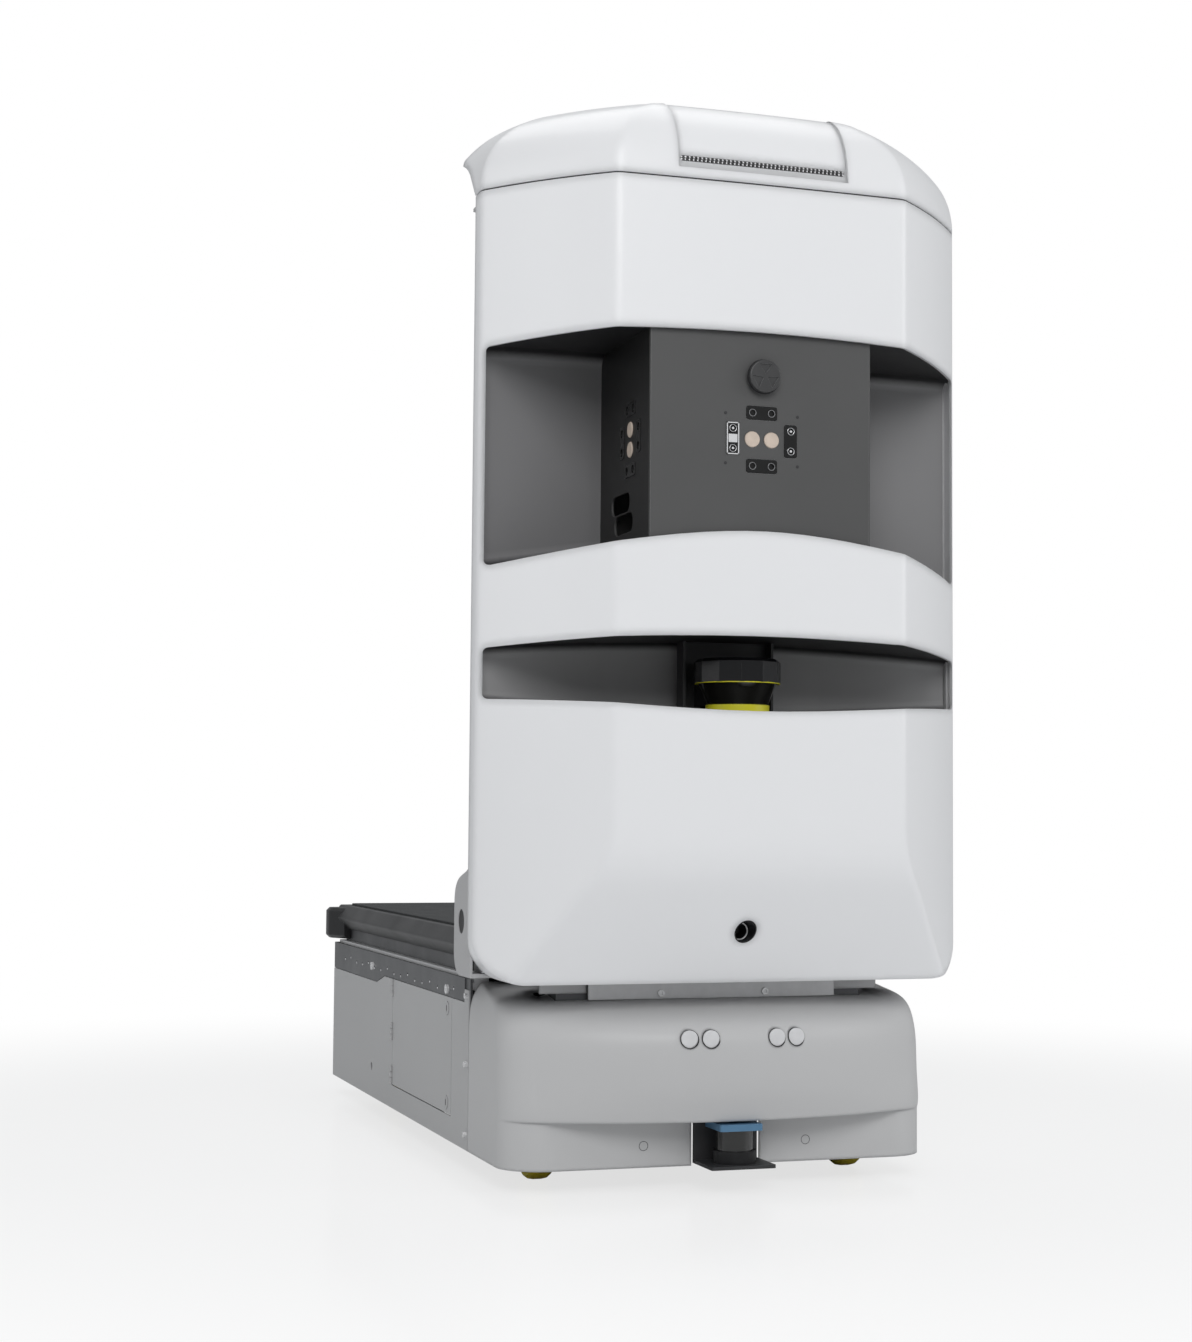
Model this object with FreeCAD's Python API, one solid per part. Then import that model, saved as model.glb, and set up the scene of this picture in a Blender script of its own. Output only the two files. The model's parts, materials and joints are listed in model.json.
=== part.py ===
import FreeCAD, Part
import math
import os
from FreeCAD import Vector

# Hospital transport robot: a sensor tower at the front and a low lifting deck behind it.
# Millimetres, +Z up, +X to the right seen from the front, -Y forwards.
# Everything is laid out from the tower's front face (Y = 0) on the centre plane (X = 0) and the floor
# (Z = 0), and is moved at the end so that the origin lies on the floor under the middle of the robot.

# Overall sizes
overall_length = 1254.5         # front of the stop button to the back of the deck tray
tower_width = 630.0
base_width = 550.0
skirt_clearance = 26.0          # floor to the lower edge of fairing and side panels

# Fits
running_clearance = 0.05        # radial, a shaft in its bore
seat_gap = 0.3                  # a moving or soft piece above its seat
panel_gap = 1.5                 # between a door and the panel round it

# Tower plan: slightly crowned front, slanting cheeks, short side walls
front_crown = 3.0               # how far the front bows out at the middle
front_half = 184.0              # centre to the bend between front and cheek
cheek_depth = 136.0             # front face to the corner between cheek and side wall
cheek_crown = 6.0               # outward bow of the cheek
side_depth = 164.0              # front face to the open back edge of the side wall
upright_radius = 18.0           # rounding of the upright edges

# Front shell
shell_wall = 4.0
shell_bottom = 248.0
shell_top = 1204.0
bevel_height = 152.0            # height of the sloping chin above the lower edge
bevel_depth = 96.0              # how far the lower edge is set back
chin_radius = 150.0             # rounding at the top of the chin
lower_corner_radius = 54.0      # lower corners seen from the front
chin_steps = 6                  # bands that round the chin into the upright front

# Windows in the front shell: heights on the centre plane and at the side ends
window_half = 309.0
window_corner = 6.0
upper_window_top = 1026.0
upper_window_top_end = 1012.0
band_top = 787.0
band_top_bend = 768.0
band_top_end = 746.0
band_bottom = 662.0
band_bottom_end = 648.0
lower_window_bottom = 573.0
lower_window_bottom_end = 587.0

# Recess liners behind the windows
liner_wall = 3.0
liner_lip = 2.0                 # the liner stands back this far behind the window's edge
upper_recess_depth = 199.0      # front face to the liner's back wall beside the sensor block
lower_recess_depth = 165.0
recess_end_depth = 152.0        # the same at the side walls
upper_recess_fillet = 18.0
lower_recess_fillet = 15.0
recess_bend_radius = 40.0       # plan rounding where the back wall turns forwards
liner_port_width = 200.0        # cable opening in the liner's back wall
liner_port_height = 130.0

# Sensor block in the upper recess
block_width = 283.0
block_front = 5.5
block_wall = 2.5
block_edge = 1.6                # bevel on the upright front edges


# Sensors on three faces of the block
block_centre = 898.0            # height of the sensor group on the front face
side_sensor_height = 901.0
side_sensor_depth = 78.0        # front face to the sensor group on the side faces
module_length = 39.0
module_height = 16.0
module_depth = 9.0
module_stand = 0.8              # proud of the face
module_corner = 2.5
module_rise = 32.0              # group centre to the upper and lower modules
module_spread = 37.0            # group centre to the outer modules
module_eye_radius = 5.0
module_eye_depth = 2.0
disc_radius = 9.5
disc_pitch = 24.5
disc_stand = 1.5
disc_thickness = module_depth
vent_length = 72.0
vent_height = 24.0
vent_upper = 827.0
vent_lower = 801.5
board_thickness = 2.0
board_height = 110.0
board_drop = 60.0

# Stop button
stop_height = 973.0
head_diameter = 40.0
head_thickness = 7.5
head_projection = 13.0          # block face to the front of the head
facet_depth = 1.2
collar_radius = 11.0
collar_flange = 1.2
collar_length = 26.0
stem_radius = 6.0
nose_radius = 3.5

# Light bars over the lower recess
light_inner = 80.0
light_outer = 180.0
light_front = 9.0
light_depth = 8.0

# Port in the chin
port_height = 311.0
port_radius = 14.0
port_sleeve_wall = 1.6
port_depth = 74.0               # front face to the rim of the tube inside

# Safety scanner in the lower recess
scanner_depth = 85.0            # front face to the scanner's axis
scanner_foot_radius = 39.0
scanner_foot_height = 12.0
scanner_hood_radius = 53.0
scanner_window_radius = 48.0
scanner_window_height = 27.0
scanner_hood_height = 29.0
scanner_hood_sides = 12
scanner_housing_width = 74.0
scanner_bracket_width = 118.0
scanner_bracket_thickness = 3.0
scanner_bracket_depth = 138.0   # front face to the bracket the scanner is bolted to
scanner_lead_radius = 4.0
scanner_lead_height = 655.0
# Top cap: a dome that narrows upwards, with a lip over the back
cap_bottom = 1206.0
cap_height = 112.0
cap_wall = 8.0
cap_roundness = 2.3             # how square the shoulder is in front view
cap_shoulder = 150.0            # half width lost at the top of the dome
cap_front_round = 92.0          # front set back at the top of the dome
cap_corner_shift = 20.0
cap_flare = 25.0                # half width lost at the back lip
cap_depth = 256.0               # front face to the tip of the lip
cap_lip_height = 1270.0
cap_lip_thickness = 8.0
cap_crown_depth = 96.0          # front face to the highest point of the roof
cap_section_shares = [0.0, 0.16, 0.34, 0.52, 0.70, 0.85, 0.95, 1.0]

channel_width = 218.0           # sunken channel down the middle of the cap
channel_sink = 4.5
grille_width = 211.0
grille_bar_height = 6.5
grille_height = 1230.0
grille_back = 30.0              # the slot runs this far back from the front face
grille_thickness = 2.0
grille_pitch = 5.2
grille_row_gap = 1.35
grille_hole = 1.1
gasket_inset = 1.6
gasket_width = 18.0

# Loudspeaker, computer and touch screen
speaker_gap = 2.0
speaker_width = 180.0
speaker_depth = 50.0
speaker_height = 60.0
computer_width = 240.0
computer_depth = 62.0
computer_height = 105.0
computer_fins = 12
screen_width = 260.0
screen_height = 165.0
screen_bottom = 1010.0

# Tower frame
plate_thickness = 3.0
plate_web = 20.0                # front to back depth of the slim part of the side plate
flange_width = 24.0
flange_depth = 160.0            # front face to the flange that carries the back cover
foot_depth = 248.0              # front face to the back of the foot
foot_corner_radius = 30.0
foot_straight = 340.0           # height where the foot's back edge starts to swing in
foot_top = 408.0
foot_thickness = 5.0
beam_places = [(470.0, 60.0), (684.0, 46.0), (1050.0, 120.0)]   # bottom and height of each cross beam
beam_wall = 3.0
top_plate_thickness = 4.0
plug_depth = 212.0
plug_height = 319.0
plug_radius = 15.0

# Back cover
cover_width = 592.0
cover_back = 226.0
cover_wall = 3.0
cover_radius = 26.0
cover_vents = 6
cover_vent_bottom = 340.0
cover_vent_pitch = 14.0

# Front fairing of the base
fairing_front = 120.0           # tower front to the fairing's lower lip
fairing_back = 312.0            # tower front to the seam with the side panels
fairing_wall = 3.0
fairing_corner = 53.0
fairing_top = 238.0
fairing_bulge = 70.0            # tower front to the underside edge of the bowed upper part
ledge_height = 84.0             # underside of the bowed upper part
notch_half = 44.0
fairing_shares = [0.0, 0.20, 0.44, 0.61, 0.75, 0.84, 0.91, 0.975, 1.0]

# Strap that ties the tower's foot to the fairing
strap_width = 324.0
strap_depth = 166.0
strap_thickness = 3.0
strap_bottom = 224.0
riser_width = 400.0
riser_front = 176.0             # tower front to the box that carries the tower
riser_top = 253.0               # underside of the tower's foot plate

# Ultrasonic discs
sonar_height = 184.0
sonar_radius = 10.5
sonar_spread = 55.0             # centre plane to the middle of a pair
sonar_pitch = 26.0

# Chassis pan
floor_height = 100.0
floor_thickness = 5.0
chassis_wall = 3.0
chassis_front = 190.0
chassis_back = 1223.0
fairing_inner = 150.0           # front edge of the floor, inside the fairing
rail_top = 241.0
rail_front = 336.0
rail_pitch = 46.0
rail_hole_height = 219.0
rail_hole_radius = 2.5
beam_width = 22.0
beam_height = 30.0
beam_top = 245.0

# Side panels and service door
panel_thickness = 2.0
sheet_gap = 1.2
panel_top = 212.0
panel_top_back = 200.0
notch_depth = 828.0             # where the panel's upper edge steps down
notch_run = 56.0
oval_depth = 915.0
oval_height = 71.0
oval_radius = 6.0
door_front = 405.0
door_back = 768.0
door_bottom = 60.0
door_margin = 10.0              # the pan's wall is open behind the door up to this far from its edges
hinge_offset = 1.6              # hinge axis outside the panel's face
knuckle_radius = 3.0
knuckle_length = 8.0
hinge_pin_radius = 1.25
latch_depth = 429.0
latch_heights = [196.0, 74.0]
latch_radius = 7.0
latch_stand = 1.2
latch_stud = 9.0

# Lifting deck
jack_spread = 175.0
jack_front = 400.0
jack_back = 1120.0
jack_bolt_radius = 4.0
column_radius = 22.0
column_height = 112.0
jack_motor_radius = 20.0
ram_radius = 12.0
ram_bottom = 125.0
frame_width = 516.0
frame_wall = 3.0
frame_front = 330.0
frame_back = 1212.0
tray_width = 556.0
tray_front = 262.0
tray_back = overall_length + block_front - head_projection
tray_bottom = 264.0
tray_waist = 282.0
tray_top = 301.0
tray_slope = 14.0
undercut_width = 524.0
tray_floor = 4.0
bumper_width = 576.0
bumper_depth = 34.0
bumper_taper = 40.0
bumper_bottom = 248.0
mat_width = 504.0
mat_margin = 36.0
mat_thickness = 4.0
mat_top = 304.0

# Inside the base
battery_width = 300.0
battery_length = 285.0
battery_height = 100.0
battery_front = 440.0

# Drive wheels
drive_depth = 826.0             # tower front to the drive axle
drive_slot_inner = 24.0
drive_slot_length = 172.0
drive_radius = 75.0
drive_width = 40.0
drive_face = 192.0              # centre plane to the gearbox face
shaft_radius = 9.0
shaft_seat = 40.0

# Casters
caster_radius = 37.5
caster_width = 30.0
caster_trail = 20.0
caster_front = 219.0
caster_rear = 990.0
caster_front_spread = 206.0
caster_rear_spread = 210.0
caster_plate_width = 76.0
caster_plate_length = 90.0
caster_plate_thickness = 5.0
crown_top = 86.0
crown_thickness = 5.5
race_radius = 24.0
king_pin_radius = 6.0
nut_radius = 9.5
nut_height = 3.8
fork_leg = 3.5
axle_radius = 5.0
bolt_head = 4.0
bolt_head_radius = 8.0

# Low laser scanner
lidar_depth = 89.0              # tower front to the scanner's axis
lidar_bottom = 33.0
lidar_plate_thickness = 4.0
lidar_plate_width = 82.0
lidar_plate_reach = 35.0
lidar_radius = 26.0
lidar_body_height = 15.0
lidar_window_radius = 22.0
lidar_window_height = 25.0
lidar_mount_size = 54.0
lidar_mount_height = 8.0

# Screws
seam_screw_heights = [220.0, 134.0, 46.0]
seam_screw_depth = 320.0
rail_screw_depths = [427.0, 911.0]
rail_screw_height = 221.0
strap_screw_spread = 68.5


def v(x, y, z):
    return Vector(x, y, z)


def box(x0, x1, y0, y1, z0, z1):
    return Part.makeBox(x1 - x0, y1 - y0, z1 - z0, v(x0, y0, z0))


def cyl(x, y, z, axis, radius, length):
    return Part.makeCylinder(radius, length, v(x, y, z), axis)


AXIS_X = v(1, 0, 0)
AXIS_Y = v(0, 1, 0)
AXIS_Z = v(0, 0, 1)


def mirrored(shape):
    """The same shape on the other side of the centre plane."""
    return shape.mirror(v(0, 0, 0), AXIS_X)


def both_sides(shape):
    return Part.makeCompound([shape, mirrored(shape)])


def moved(shape, x, y, z):
    copy = shape.copy()
    copy.translate(v(x, y, z))
    return copy


def fused(shapes):
    return shapes[0].fuse(shapes[1:]).removeSplitter()


def cut_all(shape, tools):
    return shape.cut(Part.makeCompound(tools)) if len(tools) > 1 else shape.cut(tools[0])


def rounded(points, radii):
    """Closed outline through the points; each corner is rounded with its own radius, 0 leaves it sharp."""
    if not isinstance(radii, list):
        radii = [radii] * len(points)
    corners = []
    for index, point in enumerate(points):
        before = (points[index - 1] - point).normalize()
        after = (points[(index + 1) % len(points)] - point).normalize()
        radius = radii[index]
        if radius == 0:
            corners.append((point, point, point))
            continue
        half_angle = before.getAngle(after) / 2
        middle = (before + after).normalize()
        setback = radius / math.tan(half_angle)
        crown = middle * (radius / math.sin(half_angle) - radius)
        corners.append((point + before * setback, point + crown, point + after * setback))
    edges = []
    for index, (start, middle, end) in enumerate(corners):
        if radii[index] != 0:
            edges.append(arc(start, middle, end))
        following = corners[(index + 1) % len(corners)][0]
        if (following - end).Length > 0.001:
            edges.append(Part.makeLine(end, following))
    return Part.Wire(edges)


def slab(outline, direction):
    """Solid from a closed flat outline, pushed along a direction."""
    return Part.Face(outline).extrude(direction)


def plan(points, radii, z0, z1):
    return slab(rounded([v(x, y, z0) for x, y in points], radii), v(0, 0, z1 - z0))


def side_view(points, radii, x0, x1):
    return slab(rounded([v(x0, y, z) for y, z in points], radii), v(x1 - x0, 0, 0))


def front_view(points, radii, y0, y1):
    return slab(rounded([v(x, y0, z) for x, z in points], radii), v(0, y1 - y0, 0))


def rectangle(x0, x1, y0, y1):
    return [(x0, y0), (x1, y0), (x1, y1), (x0, y1)]


def arc(start, middle, end):
    return Part.Arc(start, middle, end).toShape()


def bulge(start, end, height):
    """Arc in plan from start to end, bowing out by height to the right of the direction of travel."""
    along = end - start
    side = v(along.y, -along.x, 0)
    side.normalize()
    return arc(start, (start + end) * 0.5 + side * height, end)


def cheek_circle():
    """Centre and radius of the arc that a cheek follows in plan, on the +X side."""
    bend = v(front_half, 0, 0)
    corner = v(tower_width / 2, cheek_depth, 0)
    chord = corner - bend
    radius = (chord.Length ** 2 / 4 + cheek_crown ** 2) / (2 * cheek_crown)
    inwards = v(-chord.y, chord.x, 0).normalize()
    centre = (bend + corner) * 0.5 + inwards * (radius - cheek_crown)
    return centre.x, centre.y, radius


def tower_outline(inset, back, z, setback=0.0):
    """Closed plan outline of the tower at height z, moved in by inset, with the front set back."""
    centre_x, centre_y, cheek_radius = cheek_circle()
    radius = cheek_radius - inset
    half = tower_width / 2 - inset
    front = inset + setback
    bend = centre_x + math.sqrt(radius ** 2 - (front - centre_y) ** 2)
    corner = centre_y - math.sqrt(radius ** 2 - (half - centre_x) ** 2)
    middle_y = (front + corner) / 2
    middle = centre_x + math.sqrt(radius ** 2 - (middle_y - centre_y) ** 2)
    edges = [
        Part.makeLine(v(-half, back, z), v(-half, corner, z)),
        arc(v(-half, corner, z), v(-middle, middle_y, z), v(-bend, front, z)),
        arc(v(-bend, front, z), v(0, front - front_crown, z), v(bend, front, z)),
        arc(v(bend, front, z), v(middle, middle_y, z), v(half, corner, z)),
        Part.makeLine(v(half, corner, z), v(half, back, z)),
        Part.makeLine(v(half, back, z), v(-half, back, z)),
    ]
    edge_radius = upright_radius - inset
    return Part.Wire(edges).makeOffset2D(-edge_radius).makeOffset2D(edge_radius)


def chin_setback(z):
    """How far the front is set back at height z: a straight chin, rounded into the upright front."""
    tilt = math.atan(bevel_depth / bevel_height)
    knee = shell_bottom + bevel_height
    rise = chin_radius * math.tan(tilt / 2)
    if z >= knee + rise:
        return 0.0
    if z <= knee - rise * math.cos(tilt):
        return (knee - z) * math.tan(tilt)
    return chin_radius - math.sqrt(chin_radius ** 2 - (knee + rise - z) ** 2)


def tower_solid(inset, back, bottom, top):
    """Filled body of the tower inside the shell's outer face moved in by inset."""
    tilt = math.atan(bevel_depth / bevel_height)
    straight = shell_bottom + bevel_height + chin_radius * math.tan(tilt / 2)
    drop = inset * (1 - math.sin(tilt)) / math.cos(tilt)
    overrun = 4 * upright_radius             # the rounded back corners of the outline are cut off
    bent = shell_bottom + bevel_height - chin_radius * math.tan(tilt / 2) * math.cos(tilt)
    knee = [drop + bent + (straight - bent) * step / chin_steps for step in range(chin_steps + 1)]
    sections = [tower_outline(inset, back + overrun, z, chin_setback(z - drop))
                for z in [bottom] + knee + [top]]
    body = Part.makeLoft(sections, True, True)
    half = tower_width / 2 - inset
    corner = max(lower_corner_radius - (bottom - shell_bottom), 1.0)
    front = front_view([(-half, top), (-half, bottom), (half, bottom), (half, top)],
                       [0, corner, corner, 0], -upright_radius, back)
    return body.common(front).removeSplitter()


def window_slab(top, top_end, bottom, bottom_bend, bottom_end, grow, y0, y1):
    """Solid through a window: arched top and bottom edges, heights on the centre plane and at the ends."""
    half = window_half + grow
    top, top_end = top + grow, top_end + grow
    low = [z - grow for z in (bottom, bottom_bend, bottom_end)]
    curve = Part.BSplineCurve()
    curve.interpolate([v(-half, y0, low[2]), v(-front_half, y0, low[1]), v(0, y0, low[0]),
                       v(front_half, y0, low[1]), v(half, y0, low[2])])
    outline = Part.Wire([
        curve.toShape(),
        Part.makeLine(v(half, y0, low[2]), v(half, y0, top_end)),
        arc(v(half, y0, top_end), v(0, y0, top), v(-half, y0, top_end)),
        Part.makeLine(v(-half, y0, top_end), v(-half, y0, low[2])),
    ])
    return slab(outline, v(0, y1 - y0, 0))


def rounded_corners(body, radius):
    """Round the four edges of a window's solid that run front to back."""
    depth = body.BoundBox.YLength
    corners = [edge for edge in body.Edges if edge.BoundBox.YLength > depth - 1]
    return body.makeFillet(radius, corners)


def upper_window(grow, y0, y1):
    return window_slab(upper_window_top, upper_window_top_end, band_top, band_top_bend, band_top_end,
                       grow, y0, y1)


def lower_window(grow, y0, y1):
    bend = (lower_window_bottom + lower_window_bottom_end) / 2
    return window_slab(band_bottom, band_bottom_end, lower_window_bottom, bend, lower_window_bottom_end,
                       grow, y0, y1)


def recess(window, depth, round_radius, grow):
    """Hollow behind a window, its walls moved outwards by grow; its back runs forward to the sides."""
    half = tower_width / 2 + 20
    block_half = block_width / 2
    ends = recess_end_depth - (half - window_half) * (depth - recess_end_depth) / (window_half - block_half)
    points = [(-half, -60), (half, -60), (half, ends), (block_half, depth), (-block_half, depth),
              (-half, ends)]
    outline = rounded([v(x, y, 0) for x, y in points], [0, 0, 0, recess_bend_radius, recess_bend_radius, 0])
    if grow != 0:
        outline = outline.makeOffset2D(grow)
    height = shell_top + 100
    body = window(liner_lip + grow, -50, depth + 50).common(slab(outline, v(0, 0, height)))
    back_edges = []
    for edge in body.Edges:
        extent = edge.BoundBox
        if extent.YMin > ends - 2 and extent.XLength > 40:
            back_edges.append(edge)
    return body.makeFillet(round_radius + grow, back_edges)


def upper_recess(grow):
    return recess(upper_window, upper_recess_depth, upper_recess_fillet, grow)


def lower_recess(grow):
    return recess(lower_window, lower_recess_depth, lower_recess_fillet, grow)


def front_shell():
    """Thin moulded shell with two wide windows and a round port in the chin."""
    outer = tower_solid(0, side_depth, shell_bottom, shell_top)
    inner = tower_solid(shell_wall, side_depth + 50, shell_bottom + shell_wall, shell_top + 50)
    windows = [rounded_corners(upper_window(0, -50, cheek_depth + 2), window_corner),
               rounded_corners(lower_window(0, -50, cheek_depth + 2), window_corner)]
    port = cyl(0, 0, port_height, AXIS_Y, port_radius, side_depth)
    return cut_all(outer, [inner] + windows + [port])


def inside_shell(gap):
    """Room inside the front shell and between the webs of the tower frame, open at the back."""
    inset = shell_wall + gap
    body = tower_solid(inset, upper_recess_depth + 40, shell_bottom + inset, shell_top)
    inside = tower_width / 2 - shell_wall - plate_thickness - gap
    web = box(inside, tower_width, side_depth - plate_web - gap, upper_recess_depth + 60, 0, shell_top + 10)
    return cut_all(body, [web, mirrored(web)])


def liner(recess_shape, room, port_bottom):
    """Thin lining of a recess, trimmed to the inside of the shell, with a cable opening at the back."""
    skin = recess_shape(liner_wall).cut(recess_shape(0)).common(room)
    back = upper_recess_depth + 20
    port = box(-liner_port_width / 2, liner_port_width / 2, recess_end_depth, back,
               port_bottom, port_bottom + liner_port_height)
    return skin, port


def upper_liner(room):
    skin, port = liner(upper_recess, room, block_centre - liner_port_height / 2)
    return skin.cut(port)


def lower_liner(room, slots):
    skin = liner(lower_recess, room, 0)[0]
    lead_hole = cyl(0, lower_recess_depth - 10, scanner_lead_height, AXIS_Y, scanner_lead_radius, 40)
    return cut_all(skin, slots + [lead_hole])


def light_strips(room, play):
    """Two light bars let into the ceiling of the lower recess, just behind the shell's edge."""
    skin = lower_recess(liner_wall + 1).cut(lower_recess(-1)).common(room)
    ceiling = band_bottom_end - 15
    start = light_inner - play
    bar = box(start, light_outer + play, light_front - play, light_front + light_depth + play,
              ceiling, ceiling + 60)
    return skin.common(both_sides(bar))


def block_body(inset, back):
    """Sensor block inside the upper recess, its faces moved in by inset."""
    half = block_width / 2 - inset
    front = block_front + inset
    points = rectangle(-half, half, front, back)
    edge = max(block_edge - inset, 0)
    corners = [(-half, front + edge), (-half + edge, front), (half - edge, front), (half, front + edge),
               (half, back), (-half, back)] if edge > 0 else points
    prism = plan(corners, 0, band_top_end - 50, upper_window_top + 50)
    return prism.common(upper_recess(-seat_gap - inset))


def on_front(shape):
    """Place a shape, drawn at X = 0, Y = 0 and block height, on the block's front face."""
    return moved(shape, 0, block_front, block_centre)


def on_left(shape):
    turned = shape.copy()
    turned.rotate(v(0, 0, 0), AXIS_Z, -90)
    return moved(turned, -block_width / 2, side_sensor_depth, side_sensor_height)


def sensor_layout(side):
    """Centres (across, up, lies flat) of the four modules and centres (across, up) of the two discs."""
    modules = [(0, module_rise, True), (0, -module_rise, True),
               (-module_spread, 0, False), (module_spread, 0, False)]
    discs = [(-disc_pitch / 2, 0), (disc_pitch / 2, 0)]
    if side:
        modules = [(up, across, not flat) for across, up, flat in modules]
        discs = [(up, across) for across, up in discs]
    return modules, discs


def module_plate(flat, grow, y0, y1):
    length, height = (module_length, module_height) if flat else (module_height, module_length)
    x, z = length / 2 + grow, height / 2 + grow
    return front_view(rectangle(-x, x, -z, z), module_corner + grow, y0, y1)


def sensor_module(flat):
    """Black module with two round eyes sunk into its face."""
    plate = module_plate(flat, 0, -module_stand, module_depth)
    reach = module_length / 2 - module_height / 2
    eyes = []
    for step in (-1, 1):
        x, z = (reach * step, 0) if flat else (0, reach * step)
        eyes.append(cyl(x, -module_stand, z, AXIS_Y, module_eye_radius, module_eye_depth))
    return cut_all(plate, eyes)


def sensor_group(side, place):
    """Modules, discs and the holes they need, for one face of the block."""
    modules, discs = sensor_layout(side)
    module_shapes, disc_shapes, holes = [], [], []
    for across, up, flat in modules:
        module_shapes.append(place(moved(sensor_module(flat), across, 0, up)))
        hole = module_plate(flat, seat_gap, -5, block_wall + 5)
        holes.append(place(moved(hole, across, 0, up)))
    for across, up in discs:
        disc = cyl(across, -disc_stand, up, AXIS_Y, disc_radius, disc_stand + disc_thickness)
        front_edge = [edge for edge in disc.Edges if edge.CenterOfMass.y < -disc_stand + 0.01]
        disc_shapes.append(place(disc.makeChamfer(disc_stand / 2, front_edge)))
        holes.append(place(cyl(across, -5, up, AXIS_Y, disc_radius + seat_gap, block_wall + 10)))
    return module_shapes, disc_shapes, holes


def all_sensors():
    front = sensor_group(False, on_front)
    left = sensor_group(True, on_left)
    right = [[mirrored(shape) for shape in shapes] for shapes in left]
    return [front[kind] + left[kind] + right[kind] for kind in range(3)]


def side_slots():
    """Two long rounded vents low on each side of the block."""
    slots = []
    for centre, height in ((side_sensor_depth + 37, vent_upper), (side_sensor_depth + 25, vent_lower)):
        vent = rounded([v(-block_width / 2 - 5, centre - vent_length / 2, height - vent_height / 2),
                        v(-block_width / 2 - 5, centre + vent_length / 2, height - vent_height / 2),
                        v(-block_width / 2 - 5, centre + vent_length / 2, height + vent_height / 2),
                        v(-block_width / 2 - 5, centre - vent_length / 2, height + vent_height / 2)],
                       vent_height / 2 - 1)
        slot = slab(vent, v(block_wall + 10, 0, 0))
        slots += [slot, mirrored(slot)]
    return slots


def sensor_block(sensor_holes):
    """Folded case round the sensors, open at the back where it meets the liner."""
    body = block_body(0, upper_recess_depth + 20)
    hollow = block_body(block_wall, upper_recess_depth + 60)
    button_hole = cyl(0, 0, stop_height, AXIS_Y, collar_radius + seat_gap, 30)
    return cut_all(body, [hollow, button_hole] + sensor_holes + side_slots())


def sensor_board():
    """Carrier plate inside the block; the modules and discs of the front face stand on it."""
    half = block_width / 2 - block_wall
    back = block_front + module_depth
    height = block_centre - board_drop
    plate = box(-half, half, back, back + board_thickness, height, height + board_height)
    barrel = cyl(0, 0, stop_height, AXIS_Y, collar_radius + 1, 60)
    return plate.cut(barrel)


def stop_collar():
    """Fixed threaded barrel and flange of the stop button."""
    flange = cyl(0, block_front - collar_flange, stop_height, AXIS_Y, collar_radius + 4, collar_flange)
    barrel = cyl(0, block_front, stop_height, AXIS_Y, collar_radius, collar_length)
    bore = cyl(0, -50, stop_height, AXIS_Y, stem_radius + running_clearance, 200)
    return fused([flange, barrel]).cut(bore)


def stop_stem():
    """Sliding stem; its thinner nose carries the turning head."""
    back = block_front + collar_length + 2
    head_back = block_front - head_projection + head_thickness
    stem = cyl(0, head_back + 0.3, stop_height, AXIS_Y, stem_radius, back - head_back)
    nose = cyl(0, head_back - head_thickness + 2, stop_height, AXIS_Y, nose_radius, head_thickness)
    return fused([stem, nose])


def stop_head():
    """Mushroom head with three triangular grip facets."""
    front = block_front - head_projection
    head = cyl(0, front, stop_height, AXIS_Y, head_diameter / 2, head_thickness)
    rim = [edge for edge in head.Edges if edge.CenterOfMass.y < front + 0.01 and edge.Length > 50]
    head = head.makeFillet(2.0, rim)
    facets = []
    for turn in (0, 120, 240):
        outer = head_diameter / 2 - 3
        facet = front_view([(0, 2.5), (outer * 0.5, outer * 0.86), (-outer * 0.5, outer * 0.86)], 0.6,
                           front - 1, front + facet_depth)
        facet.rotate(v(0, 0, 0), AXIS_Y, turn)
        facets.append(moved(facet, 0, 0, stop_height))
    socket = cyl(0, front + 2 - 0.3, stop_height, AXIS_Y, nose_radius + running_clearance, head_thickness)
    return cut_all(head, facets + [socket])


def scanner_floor():
    """Height the scanner stands at, clear of the slightly arched recess floor."""
    return lower_window_bottom - liner_lip + 0.5


def scanner_housing(grow, bottom, top):
    """Square back of the scanner, from its axis to the bracket."""
    half = scanner_housing_width / 2 + grow
    return box(-half, half, scanner_depth, scanner_bracket_depth, bottom, top)


def scanner_ring():
    """Yellow foot of the scanner, standing on the recess floor."""
    return cyl(0, scanner_depth, scanner_floor(), AXIS_Z, scanner_foot_radius, scanner_foot_height)


def scanner_window():
    """Smoked window, a cone that opens upwards."""
    low = scanner_floor() + scanner_foot_height
    cone = Part.makeCone(scanner_foot_radius - 2, scanner_window_radius, scanner_window_height,
                         v(0, scanner_depth, low), AXIS_Z)
    return cone.cut(scanner_housing(0, low, low + scanner_window_height))


def scanner_hood():
    """Faceted hood over the window, in one piece with the housing behind it."""
    low = scanner_floor() + scanner_foot_height
    rim = low + scanner_window_height
    half_side = math.pi / scanner_hood_sides
    corners = []
    for side in range(scanner_hood_sides):
        angle = 2 * half_side * (side + 0.5)
        corners.append((scanner_hood_radius * math.cos(angle),
                        scanner_depth + scanner_hood_radius * math.sin(angle)))
    hood = plan(corners, 0, rim, rim + scanner_hood_height)
    top = [edge for edge in hood.Edges if edge.BoundBox.ZMin > rim + scanner_hood_height - 0.01]
    hood = hood.makeChamfer(4.0, top)
    return fused([hood, scanner_housing(0, low, rim + scanner_hood_height - 4)])


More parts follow.
